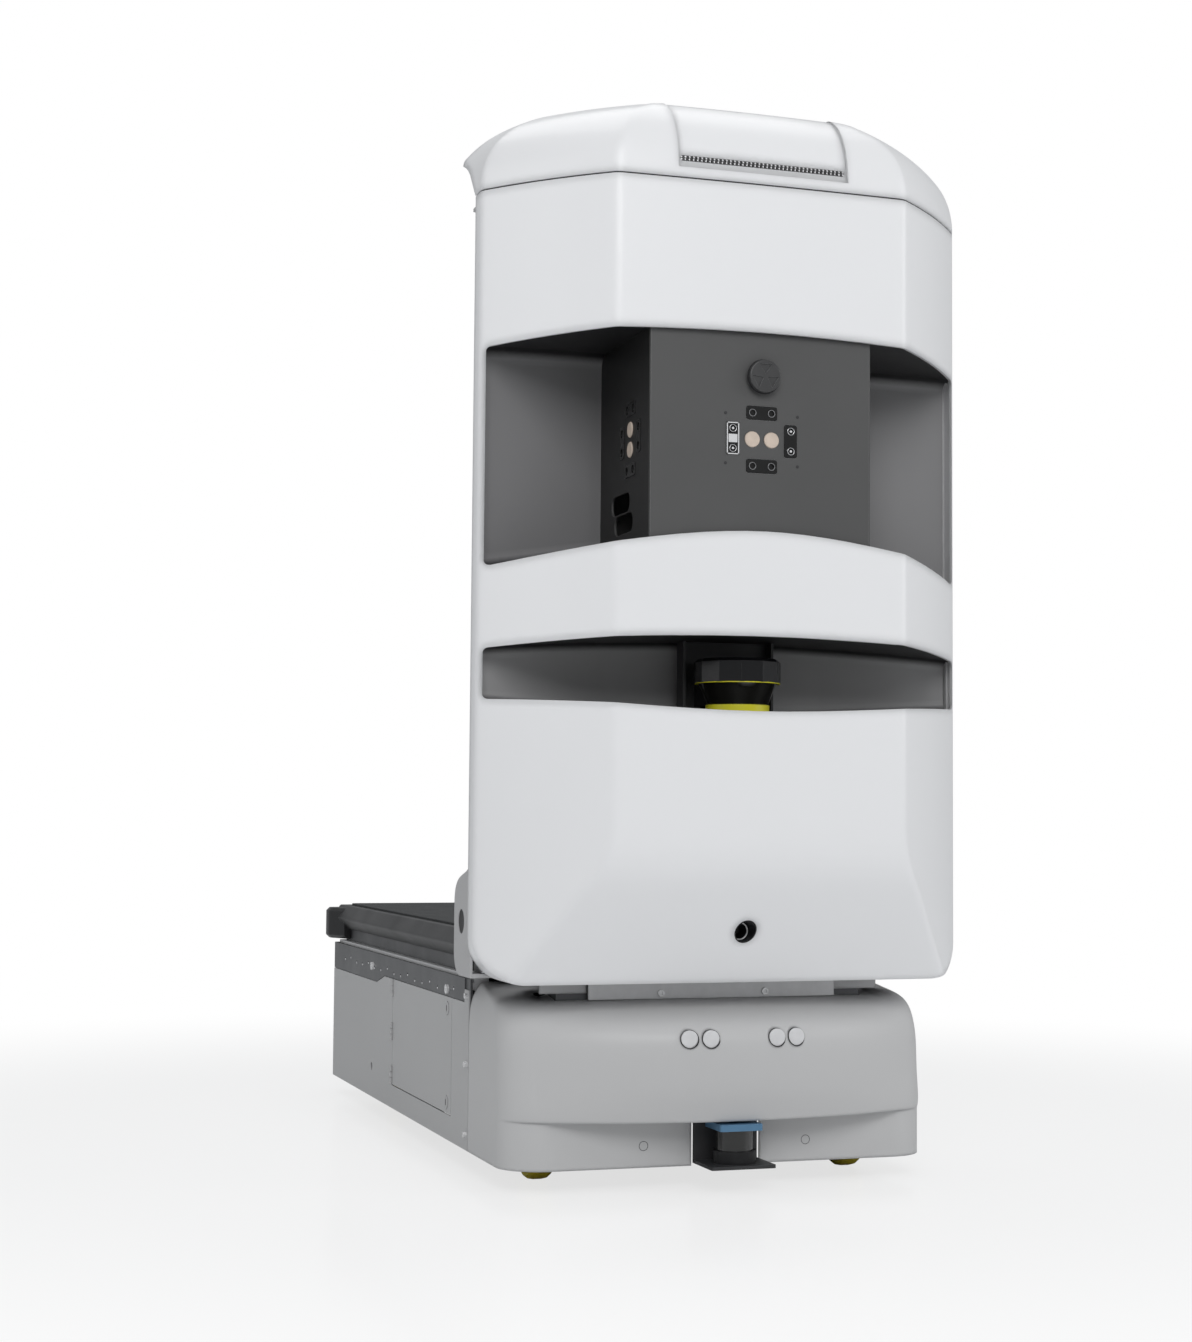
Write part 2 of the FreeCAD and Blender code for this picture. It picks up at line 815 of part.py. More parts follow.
def scanner_bracket(room):
    """Folded bracket behind the scanner, its foot on the recess floor."""
    half = scanner_bracket_width / 2
    back = scanner_bracket_depth
    upright = box(-half, half, back, back + scanner_bracket_thickness, scanner_floor() - 20, band_bottom + 20)
    cheeks = box(half - scanner_bracket_thickness, half, back - 22, back, scanner_floor() - 20,
                 band_bottom + 20)
    foot = box(-half, half, back, lower_recess_depth + 5, scanner_floor() - 20,
               scanner_floor() + scanner_bracket_thickness + 3)
    shape = fused([upright, cheeks, mirrored(cheeks), foot])
    return shape.common(lower_recess(-seat_gap)).common(room)


def port_sleeve():
    """Black sleeve in the chin, cut off flush with the chin's slope."""
    sleeve = cyl(0, 0, port_height, AXIS_Y, port_radius - 0.1, port_depth + 25)
    bore = cyl(0, -5, port_height, AXIS_Y, port_radius - port_sleeve_wall, port_depth + 60)
    flush = tower_solid(0.4, side_depth, shell_bottom + 0.4, shell_top)
    return sleeve.cut(bore).common(flush)


def port_tube():
    """Bright tube with a stepped cone inside, set back in the sleeve."""
    radius = port_radius - port_sleeve_wall
    tube = cyl(0, port_depth, port_height, AXIS_Y, radius, 20)
    rim = [edge for edge in tube.Edges if edge.CenterOfMass.y < port_depth + 0.01]
    tube = tube.makeChamfer(0.6, rim)
    cone = Part.makeCone(radius - 1.6, 4.0, 12.0, v(0, port_depth, port_height), AXIS_Y)
    return tube.cut(cone)


def cap_section(z, inset):
    """Plan outline of the cap at height z: narrower and further back as the dome closes."""
    rise = min(max(z - cap_bottom, 0) / cap_height, 0.999)
    closing = 1 - math.sqrt(1 - rise ** cap_roundness)
    half = tower_width / 2 - cap_shoulder * closing - inset
    front = cap_front_round * closing + inset
    corner = cheek_depth + inset / 2 + cap_corner_shift * closing
    bend = front_half - cap_shoulder * 0.75 * closing - inset / 2
    flare = tower_width / 2 - cap_flare * closing - inset
    back = cap_depth + 20
    edges = [
        Part.makeLine(v(-flare, back, z), v(-half, corner, z)),
        bulge(v(-half, corner, z), v(-bend, front, z), cheek_crown),
        bulge(v(-bend, front, z), v(bend, front, z), front_crown),
        bulge(v(bend, front, z), v(half, corner, z), cheek_crown),
        Part.makeLine(v(half, corner, z), v(flare, back, z)),
        Part.makeLine(v(flare, back, z), v(-flare, back, z)),
    ]
    radius = upright_radius - inset / 2
    return Part.Wire(edges).makeOffset2D(-radius).makeOffset2D(radius)


def cap_side_view(inset):
    """Side view of the cap: hollow cove under the back lip, roof falling from the crown to the lip."""
    lip = cap_depth - inset
    under = cap_lip_height - cap_lip_thickness / 2 + inset * 0.4
    over = cap_lip_height + cap_lip_thickness / 2 - inset * 0.4
    crown = cap_bottom + cap_height - inset
    low = cap_bottom - (inset * 3)
    reach = -40.0
    cove_start = side_depth + 2 - inset * 1.2
    x0 = -tower_width
    at = lambda y, z: v(x0, y, z)
    cove_middle = at((cove_start * 2 + lip) / 3, (low + under) / 2 - 2 + inset * 0.9)
    roof_middle = at((cap_crown_depth + lip) / 2, (crown * 0.58 + over * 0.42))
    outline = Part.Wire([
        Part.makeLine(at(reach, low), at(cove_start, low)),
        arc(at(cove_start, low), cove_middle, at(lip - 2, under)),
        arc(at(lip - 2, under), at(lip, (under + over) / 2), at(lip - 2, over)),
        arc(at(lip - 2, over), roof_middle, at(cap_crown_depth, crown)),
        Part.makeLine(at(cap_crown_depth, crown), at(reach, crown)),
        Part.makeLine(at(reach, crown), at(reach, low)),
    ])
    return slab(outline, v(2 * tower_width, 0, 0))


def cap_solid(inset):
    heights = [cap_bottom + cap_height * share for share in cap_section_shares]
    dome = Part.makeLoft([cap_section(z, inset) for z in heights], True, False)
    return dome.common(cap_side_view(inset))


def channel_space(whole):
    """Space over the middle of the cap between its skin and the floor of the sunken channel."""
    half = channel_width / 2
    skin = whole.cut(cap_solid(channel_sink))
    strip = box(-half, half, -20, cap_depth - 45, grille_height - 12, cap_bottom + cap_height + 10)
    return skin.common(strip)


def grille_bar(grow, y0, y1):
    half = grille_width / 2 + grow
    low = grille_height - grille_bar_height / 2 - grow
    high = grille_height + grille_bar_height / 2 + grow
    return front_view(rectangle(-half, half, low, high), (high - low) / 2 - 0.05, y0, y1)


def top_cap():
    """Hollow cap with a sunken channel down its middle and a slot for the grille in front."""
    whole = cap_solid(0)
    shell = whole.cut(cap_solid(cap_wall))
    return cut_all(shell, [channel_space(whole), grille_bar(seat_gap, -30, grille_back)])


def cap_grille():
    """Perforated strip: two staggered rows of small six-sided holes."""
    strip = grille_bar(0, -30, grille_back + 20).common(cap_solid(channel_sink + 0.4))
    strip = strip.cut(cap_solid(channel_sink + 0.4 + grille_thickness))
    holes = []
    count = int((grille_width - 10) / grille_pitch)
    for row in (-1, 1):
        shift = row * grille_pitch / 4
        for place in range(count):
            x = (place - (count - 1) / 2) * grille_pitch + shift
            hexagon = [v(x + grille_hole * math.cos(math.pi / 3 * k), -40,
                         grille_height + row * grille_row_gap + grille_hole * math.sin(math.pi / 3 * k))
                       for k in range(6)]
            holes.append(slab(rounded(hexagon, 0), v(0, 80, 0)))
    return cut_all(strip, holes)


def gasket():
    """Dark sealing strip between shell and cap, a little behind their faces."""
    outer = tower_outline(gasket_inset, side_depth, shell_top)
    inner = tower_outline(gasket_inset + gasket_width, side_depth + 60, shell_top)
    thickness = v(0, 0, cap_bottom - shell_top)
    return slab(outer, thickness).cut(slab(inner, thickness))


def frame_plate():
    """Left side plate of the tower: a slim web with a curved foot, and a folded flange for the back cover."""
    outside = tower_width / 2 - shell_wall
    front = side_depth - plate_web
    top = shell_top - top_plate_thickness
    foot = shell_bottom + shell_wall + 1
    radius = foot_corner_radius
    outline = Part.Wire([
        Part.makeLine(v(-outside, front, top), v(-outside, front, foot)),
        Part.makeLine(v(-outside, front, foot), v(-outside, foot_depth - radius, foot)),
        arc(v(-outside, foot_depth - radius, foot),
            v(-outside, foot_depth - radius * 0.293, foot + radius * 0.293),
            v(-outside, foot_depth, foot + radius)),
        Part.makeLine(v(-outside, foot_depth, foot + radius), v(-outside, foot_depth, foot_straight)),
        sweep_curve(outside),
        Part.makeLine(v(-outside, flange_depth, foot_top), v(-outside, flange_depth, top)),
        Part.makeLine(v(-outside, flange_depth, top), v(-outside, front, top)),
    ])
    web = slab(outline, v(plate_thickness, 0, 0))
    plug_hole = cyl(-outside - 5, plug_depth, plug_height, AXIS_X, plug_radius, 20)
    flange = box(-outside + plate_thickness, -outside + plate_thickness + flange_width,
                 flange_depth - plate_thickness, flange_depth, foot + radius, top)
    return web.cut(plug_hole), flange


def sweep_curve(outside):
    """Rear edge of the foot: swings in from the wide foot to the slim web in an S."""
    curve = Part.BSplineCurve()
    middle_z = (foot_straight + foot_top) / 2
    curve.interpolate(Points=[v(-outside, foot_depth, foot_straight),
                              v(-outside, (foot_depth + flange_depth) / 2 + 4, middle_z + 2),
                              v(-outside, flange_depth, foot_top)],
                      InitialTangent=v(0, 0, 1), FinalTangent=v(0, -0.12, 1))
    return curve.toShape()


def tower_frame():
    """Welded frame: two side plates, three cross beams, the foot plate and the top plate."""
    web, flange = frame_plate()
    inside = tower_width / 2 - shell_wall - plate_thickness
    front = side_depth - plate_web
    parts = [web, mirrored(web), flange, mirrored(flange)]
    for bottom, height in beam_places:
        parts.append(box(-inside, inside, front, flange_depth, bottom, bottom + height)
                     .cut(box(-inside - 5, inside + 5, front + beam_wall, flange_depth + 5,
                              bottom + beam_wall, bottom + height - beam_wall)))
    foot = shell_bottom + shell_wall + 1
    parts.append(box(-inside, inside, side_depth + 1, foot_depth - foot_corner_radius,
                     foot, foot + foot_thickness))
    parts.append(top_plate())
    liner_space = upper_recess(liner_wall + seat_gap)
    between = box(-inside, inside, flange_depth - plate_thickness - 1, flange_depth + 1, band_top_end - 12,
                  upper_window_top + 8)
    return cut_all(fused(parts), [liner_space, between, shell_corner_space()])


def shell_corner_space():
    """Space outside the rounded lower corners of the front shell's hollow, with a small gap."""
    half = tower_width / 2 - shell_wall - seat_gap
    low = shell_bottom + shell_wall + seat_gap
    corner = lower_corner_radius - shell_wall - seat_gap
    high = low + 2 * lower_corner_radius
    block = box(-tower_width, tower_width, cheek_depth - 20, side_depth + seat_gap, 0, high - 10)
    hollow = front_view(rectangle(-half, half, low, high), [corner, corner, 0, 0], cheek_depth - 30,
                        side_depth + 10)
    return block.cut(hollow)


def plate_plugs():
    outside = tower_width / 2 - shell_wall
    plug = cyl(-outside + 1, plug_depth, plug_height, AXIS_X, plug_radius, plate_thickness)
    return both_sides(plug)


def top_plate():
    """Plate across the top of the tower; it carries the cap, and its edge sits inside the shell."""
    top = shell_top - top_plate_thickness
    outline = tower_outline(shell_wall + seat_gap, cover_back - cover_wall - 1, top)
    plate = slab(outline, v(0, 0, top_plate_thickness))
    half = tower_width / 2 - shell_wall - plate_thickness - 4
    narrow = box(-half, half, side_depth - plate_web, cover_back, top, shell_top)
    wide = box(-tower_width, tower_width, -20, side_depth - plate_web - 1, top, shell_top)
    lightening = plan(rectangle(-150, 150, 55, 115), 20, top - 1, shell_top + 1)
    return plate.common(narrow.fuse(wide)).cut(lightening)


def cover_box(inset, bottom, top):
    half = cover_width / 2 - inset
    points = [(-half, flange_depth), (half, flange_depth), (half, cover_back - inset),
              (-half, cover_back - inset)]
    radius = cover_radius - inset
    return plan(points, [0, 0, radius, radius], bottom, top)


def rear_cover():
    """Moulded back of the tower: a pan on the frame's flanges, with a window for the touch screen."""
    bottom = shell_bottom + shell_wall + 1 + foot_thickness + 1
    top = shell_top - top_plate_thickness - 0.5
    pan = cover_box(0, bottom, top).cut(cover_box(cover_wall, bottom + cover_wall, top - cover_wall))
    screen = front_view([(-screen_width / 2 - seat_gap, screen_bottom - seat_gap),
                         (screen_width / 2 + seat_gap, screen_bottom - seat_gap),
                         (screen_width / 2 + seat_gap, screen_bottom + screen_height + seat_gap),
                         (-screen_width / 2 - seat_gap, screen_bottom + screen_height + seat_gap)],
                        8 + seat_gap, cover_back - 20, cover_back + 10)
    vents = []
    for row in range(cover_vents):
        z = cover_vent_bottom + row * cover_vent_pitch
        vents.append(front_view([(-90, z), (90, z), (90, z + 6), (-90, z + 6)], 2.9,
                                cover_back - 20, cover_back + 10))
    return cut_all(pan, [screen, shell_corner_space()] + vents)


def touch_screen():
    """Screen module: glass in the cover's window, housing behind."""
    x, z0, z1 = screen_width / 2, screen_bottom, screen_bottom + screen_height
    glass = front_view([(-x, z0), (x, z0), (x, z1), (-x, z1)], 8, cover_back - cover_wall, cover_back + 1.5)
    case = front_view([(-x - 8, z0 - 8), (x + 8, z0 - 8), (x + 8, z1 + 8), (-x - 8, z1 + 8)], 8,
                      cover_back - cover_wall - 14, cover_back - cover_wall)
    return fused([glass, case])


def computer():
    """Finned computer on the tower's lower cross beam."""
    bottom, height = beam_places[0]
    back = side_depth - plate_web
    body = box(-computer_width / 2, computer_width / 2, back - computer_depth, back,
               bottom - 20, bottom - 20 + computer_height)
    fins = []
    pitch = computer_width / computer_fins
    for fin in range(computer_fins):
        x = -computer_width / 2 + pitch * (fin + 0.5)
        fins.append(box(x - pitch / 4, x + pitch / 4, back - computer_depth - 1,
                        back - computer_depth + 12, bottom - 25, bottom + computer_height))
    return cut_all(body, fins)


def speaker():
    """Loudspeaker behind the grille, standing on the top plate."""
    depth = grille_back + speaker_gap
    case = box(-speaker_width / 2, speaker_width / 2, depth, depth + speaker_depth,
               shell_top, shell_top + speaker_height)
    opening = cyl(0, depth - 1, shell_top + speaker_height / 2, AXIS_Y, speaker_height / 2 - 8, 6)
    return case.cut(opening)


def fairing_section(z, inset):
    """Plan outline of the fairing at height z: straight at the lip, bowed out above it, narrow at the top."""
    half, front, corner = fairing_form(z)
    half, front = half - inset, front + inset
    back = fairing_back + 80
    bend = half - fairing_corner
    side = max(front + 12, corner)
    for step in range(3):                    # the corner runs smoothly out of the bowed front
        lean = 2 * math.atan((side - front) / bend)
        bend = half - fairing_corner / math.tan((lean + math.pi / 2) / 2)
    rounding = math.hypot(half - bend, fairing_corner) / 2 * math.tan((math.pi / 2 - lean) / 4)
    edges = [
        Part.makeLine(v(-half, back, z), v(-half, side + fairing_corner, z)),
        bulge(v(-half, side + fairing_corner, z), v(-bend, side, z), rounding),
        arc(v(-bend, side, z), v(0, front, z), v(bend, side, z)),
        bulge(v(bend, side, z), v(half, side + fairing_corner, z), rounding),
        Part.makeLine(v(half, side + fairing_corner, z), v(half, back, z)),
        Part.makeLine(v(half, back, z), v(-half, back, z)),
    ]
    return Part.Wire(edges)


def fairing_form(z):
    """Half width, foremost place and depth of the corners of the fairing at height z."""
    widths = [0, 0, 0, 0, -1, -3, -7, -14, -24]
    fronts = [0, -10, -16, -17, -4, 35, 98, 160, 190]
    corners = [0, 0, 4, 8, 16, 27, 42, 70, 95]
    share = min(max((z - ledge_height) / (fairing_top - ledge_height), 0), 1)
    index = max(k for k in range(len(fairing_shares)) if fairing_shares[k] <= share + 1e-9)
    index = min(index, len(fairing_shares) - 2)
    part = (share - fairing_shares[index]) / (fairing_shares[index + 1] - fairing_shares[index])
    blend = lambda row: row[index] + (row[index + 1] - row[index]) * part
    half = base_width / 2 + blend(widths)
    return half, fairing_bulge + blend(fronts), fairing_front + blend(corners)


def fairing_upper(inset):
    """Bowed upper part, lofted through plan outlines from the ledge to the roof."""
    low, top = ledge_height + inset, fairing_top - inset
    sections = [fairing_section(low + (top - low) * share, inset) for share in fairing_shares]
    half = base_width / 2 - inset
    between = box(-half, half, 0, fairing_back + 200, 0, fairing_top + 50)
    return Part.makeLoft(sections, True, False).common(between)


def fairing_lip(inset):
    """Straight lower part below the ledge."""
    half = base_width / 2 - inset
    corner = fairing_corner - inset
    points = [(-half, fairing_back + 80), (-half, fairing_front + inset), (half, fairing_front + inset),
              (half, fairing_back + 80)]
    return plan(points, [0, corner, corner, 0], skirt_clearance - inset * 2, ledge_height + 10)


def fairing_body(inset):
    body = fairing_lip(inset).fuse(fairing_upper(inset)).removeSplitter()
    return body


def front_fairing(sonar_holes):
    """Moulded grey bumper in front of the chassis, with a notch for the low laser scanner."""
    shell = fairing_body(0).cut(fairing_body(fairing_wall))
    high = fairing_top + 50
    notch = box(-notch_half, notch_half, 0, fairing_front + 60, 0, ledge_height - 1)
    behind = box(-tower_width, tower_width, fairing_back, fairing_back + 200, 0, high)
    riser = box(-riser_width / 2 - 2, riser_width / 2 + 2, riser_front - 2, fairing_back + 100,
                skirt_clearance + 60, high)
    bracket = lidar_depth + lidar_plate_reach
    slot = box(-lidar_plate_width / 2 - 2, lidar_plate_width / 2 + 2, bracket - lidar_plate_thickness - 5,
               bracket + 4, 0, ledge_height + 20)
    strap = strap_form(seat_gap)
    cut = cut_all(shell, [notch, behind, riser, strap, slot] + sonar_holes)
    return max(cut.Solids, key=lambda solid: solid.Volume)


def strap_form(grow):
    """Angle strap over the fairing's roof: upright flange in front, flat flange under the tower's foot."""
    half = strap_width / 2 + grow
    upright = box(-half, half, strap_depth - grow, strap_depth + strap_thickness + grow,
                  strap_bottom - grow, riser_top + grow)
    flat = box(-half, half, strap_depth - grow, strap_depth + 42 + grow, riser_top - strap_thickness - grow,
               riser_top + grow)
    return fused([upright, flat])


def strap_plate():
    return strap_form(0)


def sonar(turned_x, grow, y0, y1):
    return cyl(turned_x, y0, sonar_height, AXIS_Y, sonar_radius + grow, y1 - y0)


def sonar_places():
    inner = sonar_spread - sonar_pitch / 2
    outer = sonar_spread + sonar_pitch / 2
    return [-outer, -inner, inner, outer]


def sonar_front(x):
    """Depth of the fairing's face at height sonar_height, x off the centre plane."""
    line = Part.makeLine(v(x, 0, sonar_height), v(x, fairing_back, sonar_height))
    return line.common(fairing_upper(0)).BoundBox.YMin


def sonar_discs():
    discs = []
    for x in sonar_places():
        front = sonar_front(x)
        disc = sonar(x, 0, front - 1.2, front + 12)
        rim = [edge for edge in disc.Edges if edge.CenterOfMass.y < front]
        discs.append(disc.makeChamfer(0.8, rim))
    return discs


def chassis():
    """Folded steel pan: floor, side walls with a thicker pierced rail on top, and the riser for the tower."""
    half = base_width / 2 - panel_thickness
    wall = chassis_wall
    low = floor_height
    pan = box(-half, half, chassis_front, chassis_back, low, rail_top)
    hollow = box(-half + wall, half - wall, chassis_front + wall, chassis_back - wall,
                 low + floor_thickness, rail_top + 10)
    rails = rail(-1).fuse(rail(1))
    body = fused([pan.cut(hollow), rails])
    nose = box(-half, half, chassis_front - 5, fairing_back + 2, low + floor_thickness, rail_top + 10)
    body = body.cut(nose)
    front_floor = plan([(-half + 40, fairing_inner), (half - 40, fairing_inner),
                        (half - 4, chassis_front + 30),
                        (half - 4, chassis_front + 40), (-half + 4, chassis_front + 40),
                        (-half + 4, chassis_front + 30)], 0, low, low + floor_thickness)
    riser_back = tray_front - 4
    riser = box(-riser_width / 2, riser_width / 2, riser_front, riser_back, low, riser_top - strap_thickness)
    riser_hollow = box(-riser_width / 2 + wall, riser_width / 2 - wall, riser_front + wall, riser_back + 20,
                       low + floor_thickness, riser_top - strap_thickness - wall)
    body = fused([body, front_floor, riser.cut(riser_hollow)])
    cuts = [box(-base_width, -half + wall + 1, door_front + door_margin, door_back - door_margin,
                low + floor_thickness + 3, panel_top - 5)]
    for side in (-1, 1):
        x0, x1 = sorted((side * drive_slot_inner, side * (half - wall - 6)))
        cuts.append(box(x0, x1, drive_depth - drive_slot_length / 2, drive_depth + drive_slot_length / 2,
                        low - 1, low + floor_thickness + 1))
        x0, x1 = sorted((side * (half - 4), side * (half + 5)))
        cuts.append(box(x0, x1, chassis_front - 5, fairing_back + 1, low - 1, low + floor_thickness + 1))
    return cut_all(body, cuts + rail_holes() + guide_holes())


def rail(side):
    """Pierced rail over a side panel; its lower edge steps down towards the back."""
    outer = base_width / 2
    inner = outer - panel_thickness - chassis_wall
    points = [(rail_front, rail_top), (rail_front, panel_top), (notch_depth, panel_top),
              (notch_depth + notch_run, panel_top_back), (chassis_back, panel_top_back),
              (chassis_back, rail_top)]
    x0, x1 = sorted((side * inner, side * outer))
    return side_view(points, 0, x0, x1)


def rail_holes():
    holes = []
    count = int((chassis_back - rail_front - 60) / rail_pitch)
    for place in range(count):
        y = rail_front + 60 + rail_pitch * place
        z = rail_hole_height + (0 if place % 3 else 5)
        holes.append(cyl(-base_width, y, z, AXIS_X, rail_hole_radius, 2 * base_width))
    return holes


def guide_places():
    return [(x * jack_spread, y) for y in (jack_front, jack_back) for x in (-1, 1)]


def guide_holes():
    return [cyl(x, y, floor_height - 1, AXIS_Z, jack_bolt_radius, floor_thickness + 2)
            for x, y in guide_places()]


def side_beams():
    """Bright extruded beams along the top of the pan's side walls; the deck rests on them."""
    outer = base_width / 2 - panel_thickness - chassis_wall
    section = [(outer - beam_width, beam_top - beam_height), (outer, beam_top - beam_height),
               (outer, rail_top - 4), (outer - 2.5, rail_top - 4), (outer - 2.5, beam_top),
               (outer - beam_width, beam_top)]
    beam = front_view([(-x, z) for x, z in section], 0, fairing_back + 6, chassis_back - chassis_wall)
    groove = box(-outer - 1, -outer + 4, 0, chassis_back, beam_top - beam_height + 6,
                 beam_top - beam_height + 12)
    return both_sides(beam.cut(groove))


def side_panel(door_side):
    """Sheet panel beside the pan; the left one is cut away round the service door."""
    outer = base_width / 2
    points = [(fairing_back + 1, skirt_clearance), (chassis_back + 2, skirt_clearance),
              (chassis_back + 2, panel_top_back - sheet_gap),
              (notch_depth + notch_run, panel_top_back - sheet_gap),
              (notch_depth, panel_top - sheet_gap), (rail_front, panel_top - sheet_gap),
              (rail_front, rail_top - 14), (fairing_back + 1, rail_top - 14)]
    sheet = side_view(points, 0, -outer, -outer + panel_thickness)
    cuts = [cyl(-outer - 5, oval_depth, oval_height, AXIS_X, oval_radius, 20)]
    if door_side:
        opening = side_view([(door_front - panel_gap, door_bottom - panel_gap),
                             (door_back + panel_gap, door_bottom - panel_gap),
                             (door_back + panel_gap, panel_top), (door_front - panel_gap, panel_top)],
                            0, -outer - 5, -outer + 10)
        cuts.append(opening)
        x, y = hinge_axis()
        for z in hinge_heights():
            cuts.append(cyl(x, y, z - knuckle_length * 0.5 - 0.3, AXIS_Z, knuckle_radius + 0.4,
                            knuckle_length + 0.6))
        panel = cut_all(sheet, cuts)
        return panel.fuse(panel_knuckles()).removeSplitter()
    return mirrored(cut_all(sheet, cuts))


def hinge_heights():
    return [panel_top - 14, (panel_top + door_bottom) / 2, door_bottom + 14]


def hinge_axis():
    return -base_width / 2 - hinge_offset, door_back + panel_gap / 2


def panel_knuckles():
    """Outer hinge eyes of the panel with their pins, two eyes to each hinge."""
    x, y = hinge_axis()
    shapes = []
    for z in hinge_heights():
        for low in (z - knuckle_length * 1.5, z + knuckle_length * 0.5 + 0.3):
            length = knuckle_length - 0.3
            eye = cyl(x, y, low, AXIS_Z, knuckle_radius, length)
            leaf = box(-base_width / 2, -base_width / 2 + panel_thickness, y, door_back + panel_gap + 1,
                       low, low + length)
            tab = box(x, -base_width / 2 + panel_thickness, y + 0.9, door_back + panel_gap + 1, low,
                      low + length)
            shapes += [eye, tab]
        shapes.append(cyl(x, y, z - knuckle_length * 1.5, AXIS_Z, hinge_pin_radius, knuckle_length * 3))
    return Part.makeCompound([fused(shapes)])


def service_door():
    """Door with three hinge eyes at its back edge and two holes for the quarter-turn latches."""
    outer = base_width / 2
    x, y = hinge_axis()
    sheet = side_view([(door_front, door_bottom), (door_back, door_bottom),
                       (door_back, panel_top - sheet_gap),
                       (door_front, panel_top - sheet_gap)], 0, -outer, -outer + panel_thickness)
    eyes, cuts = [], []
    for z in hinge_heights():
        low = z - knuckle_length * 0.5
        eyes.append(cyl(x, y, low, AXIS_Z, knuckle_radius, knuckle_length))
        eyes.append(box(x, -outer + panel_thickness, door_back - 1, y - 0.9, low, low + knuckle_length))
        cuts.append(cyl(x, y, low - 1, AXIS_Z, hinge_pin_radius + running_clearance, knuckle_length + 2))
        for space in (z - knuckle_length * 1.5, z + knuckle_length * 0.5 + 0.3):
            cuts.append(cyl(x, y, space - 0.5, AXIS_Z, knuckle_radius + 0.4, knuckle_length + 0.7))
    for z in latch_heights:
        cuts.append(cyl(-outer - 5, latch_depth, z, AXIS_X, latch_radius + running_clearance, 30))
    return fused([sheet] + eyes).cut(Part.makeCompound(cuts))


def latch(z):
    """Quarter-turn latch: slotted head in the door, stud behind it."""
    outer = base_width / 2
    head = cyl(-outer - latch_stand, latch_depth, z, AXIS_X, latch_radius, latch_stand + panel_thickness)
    lip = cyl(-outer - latch_stand, latch_depth, z, AXIS_X, latch_radius + 2, latch_stand - 0.1)
    stud = cyl(-outer, latch_depth, z, AXIS_X, latch_radius * 0.55, panel_thickness + latch_stud)
    cam = cyl(-outer + panel_thickness + 0.3, latch_depth, z, AXIS_X, latch_radius + 1.5, 2.0)
    slot = box(-outer - latch_stand - 1, -outer - latch_stand + 1.4, latch_depth - 1.2, latch_depth + 1.2,
               z - latch_radius * 0.7, z + latch_radius * 0.7)
    return fused([head, lip, stud, cam]).cut(slot)


def rear_panel():
    """Sheet panel across the back of the pan."""
    half = base_width / 2 - panel_thickness
    sheet = box(-half, half, chassis_back, chassis_back + 2, skirt_clearance, rail_top)
    vents = []
    for row in range(4):
        z = 130 + row * 16
        vents.append(front_view([(-80, z), (80, z), (80, z + 6), (-80, z + 6)], 2.9,
                                chassis_back - 5, chassis_back + 10))
    return cut_all(sheet, vents)


def deck_mat():
    """Textured mat let into the top of the tray."""
    half = mat_width / 2
    low = tray_top - mat_thickness
    return plan(rectangle(-half, half, tray_front + mat_margin, tray_back - mat_margin), 12, low, mat_top)


def deck_tray():
    """Moulded tray: sloping sides over an undercut, thicker flared ends, a pocket for the mat."""
    half = tray_width / 2
    section = [(-undercut_width / 2, tray_bottom), (undercut_width / 2, tray_bottom), (half, tray_waist),
               (half - tray_slope, tray_top), (-half + tray_slope, tray_top), (-half, tray_waist)]
    body = front_view(section, [2, 2, 4, 3, 3, 4], tray_front + 10, tray_back - 10)
    ends = []
    for start, facing in ((tray_front, 1), (tray_back, -1)):
        wide = bumper_width / 2
        inner = start + facing * bumper_depth
        taper = start + facing * (bumper_depth + bumper_taper)
        outline = [(-wide, start), (wide, start), (wide, inner), (half - 8, taper), (-half + 8, taper),
                   (-wide, inner)]
        block = plan(outline, [14, 14, 20, 0, 0, 20], bumper_bottom, tray_top - 4)
        edges = [edge for edge in block.Edges if edge.BoundBox.ZLength < 0.1
                 and abs(edge.CenterOfMass.y - start) < 1]
        ends.append(block.makeChamfer(5.0, edges))
    body = fused([body] + ends)
    under = plan(rectangle(-frame_width / 2 - seat_gap, frame_width / 2 + seat_gap,
                           frame_front - seat_gap, frame_back + seat_gap), 0, bumper_bottom - 5, tray_bottom)
    hollow = plan(rectangle(-mat_width / 2 + 10, mat_width / 2 - 10, tray_front + mat_margin + 10,
                            tray_back - mat_margin - 10), 10, bumper_bottom - 5,
                  tray_top - mat_thickness - tray_floor)
    pocket = plan(rectangle(-mat_width / 2 - seat_gap, mat_width / 2 + seat_gap,
                            tray_front + mat_margin - seat_gap, tray_back - mat_margin + seat_gap),
                  12 + seat_gap, tray_top - mat_thickness, tray_top + 10)
    return cut_all(body, [under, hollow, pocket])


def deck_frame():
    """Folded lifting frame under the tray; it rests on the side beams when the deck is down."""
    half = frame_width / 2
    low = beam_top + seat_gap
    shell = box(-half, half, frame_front, frame_back, low, tray_bottom)
    hollow = box(-half + frame_wall, half - frame_wall, frame_front + frame_wall, frame_back - frame_wall,
                 low - 1, tray_bottom - frame_wall)
    window = plan(rectangle(-100, 100, jack_front + 80, jack_back - 80), 30, low - 2, tray_bottom + 2)
    return cut_all(shell, [hollow, window])


def lift_rams():
    """Rams that push the lifting frame up out of the jack columns."""
    top = tray_bottom - frame_wall
    rams = []
    for x, y in guide_places():
        ram = cyl(x, y, ram_bottom, AXIS_Z, ram_radius, top - ram_bottom)
        cap = cyl(x, y, top - 4, AXIS_Z, ram_radius + 8, 4)
        rams.append(fused([ram, cap]))
    return rams


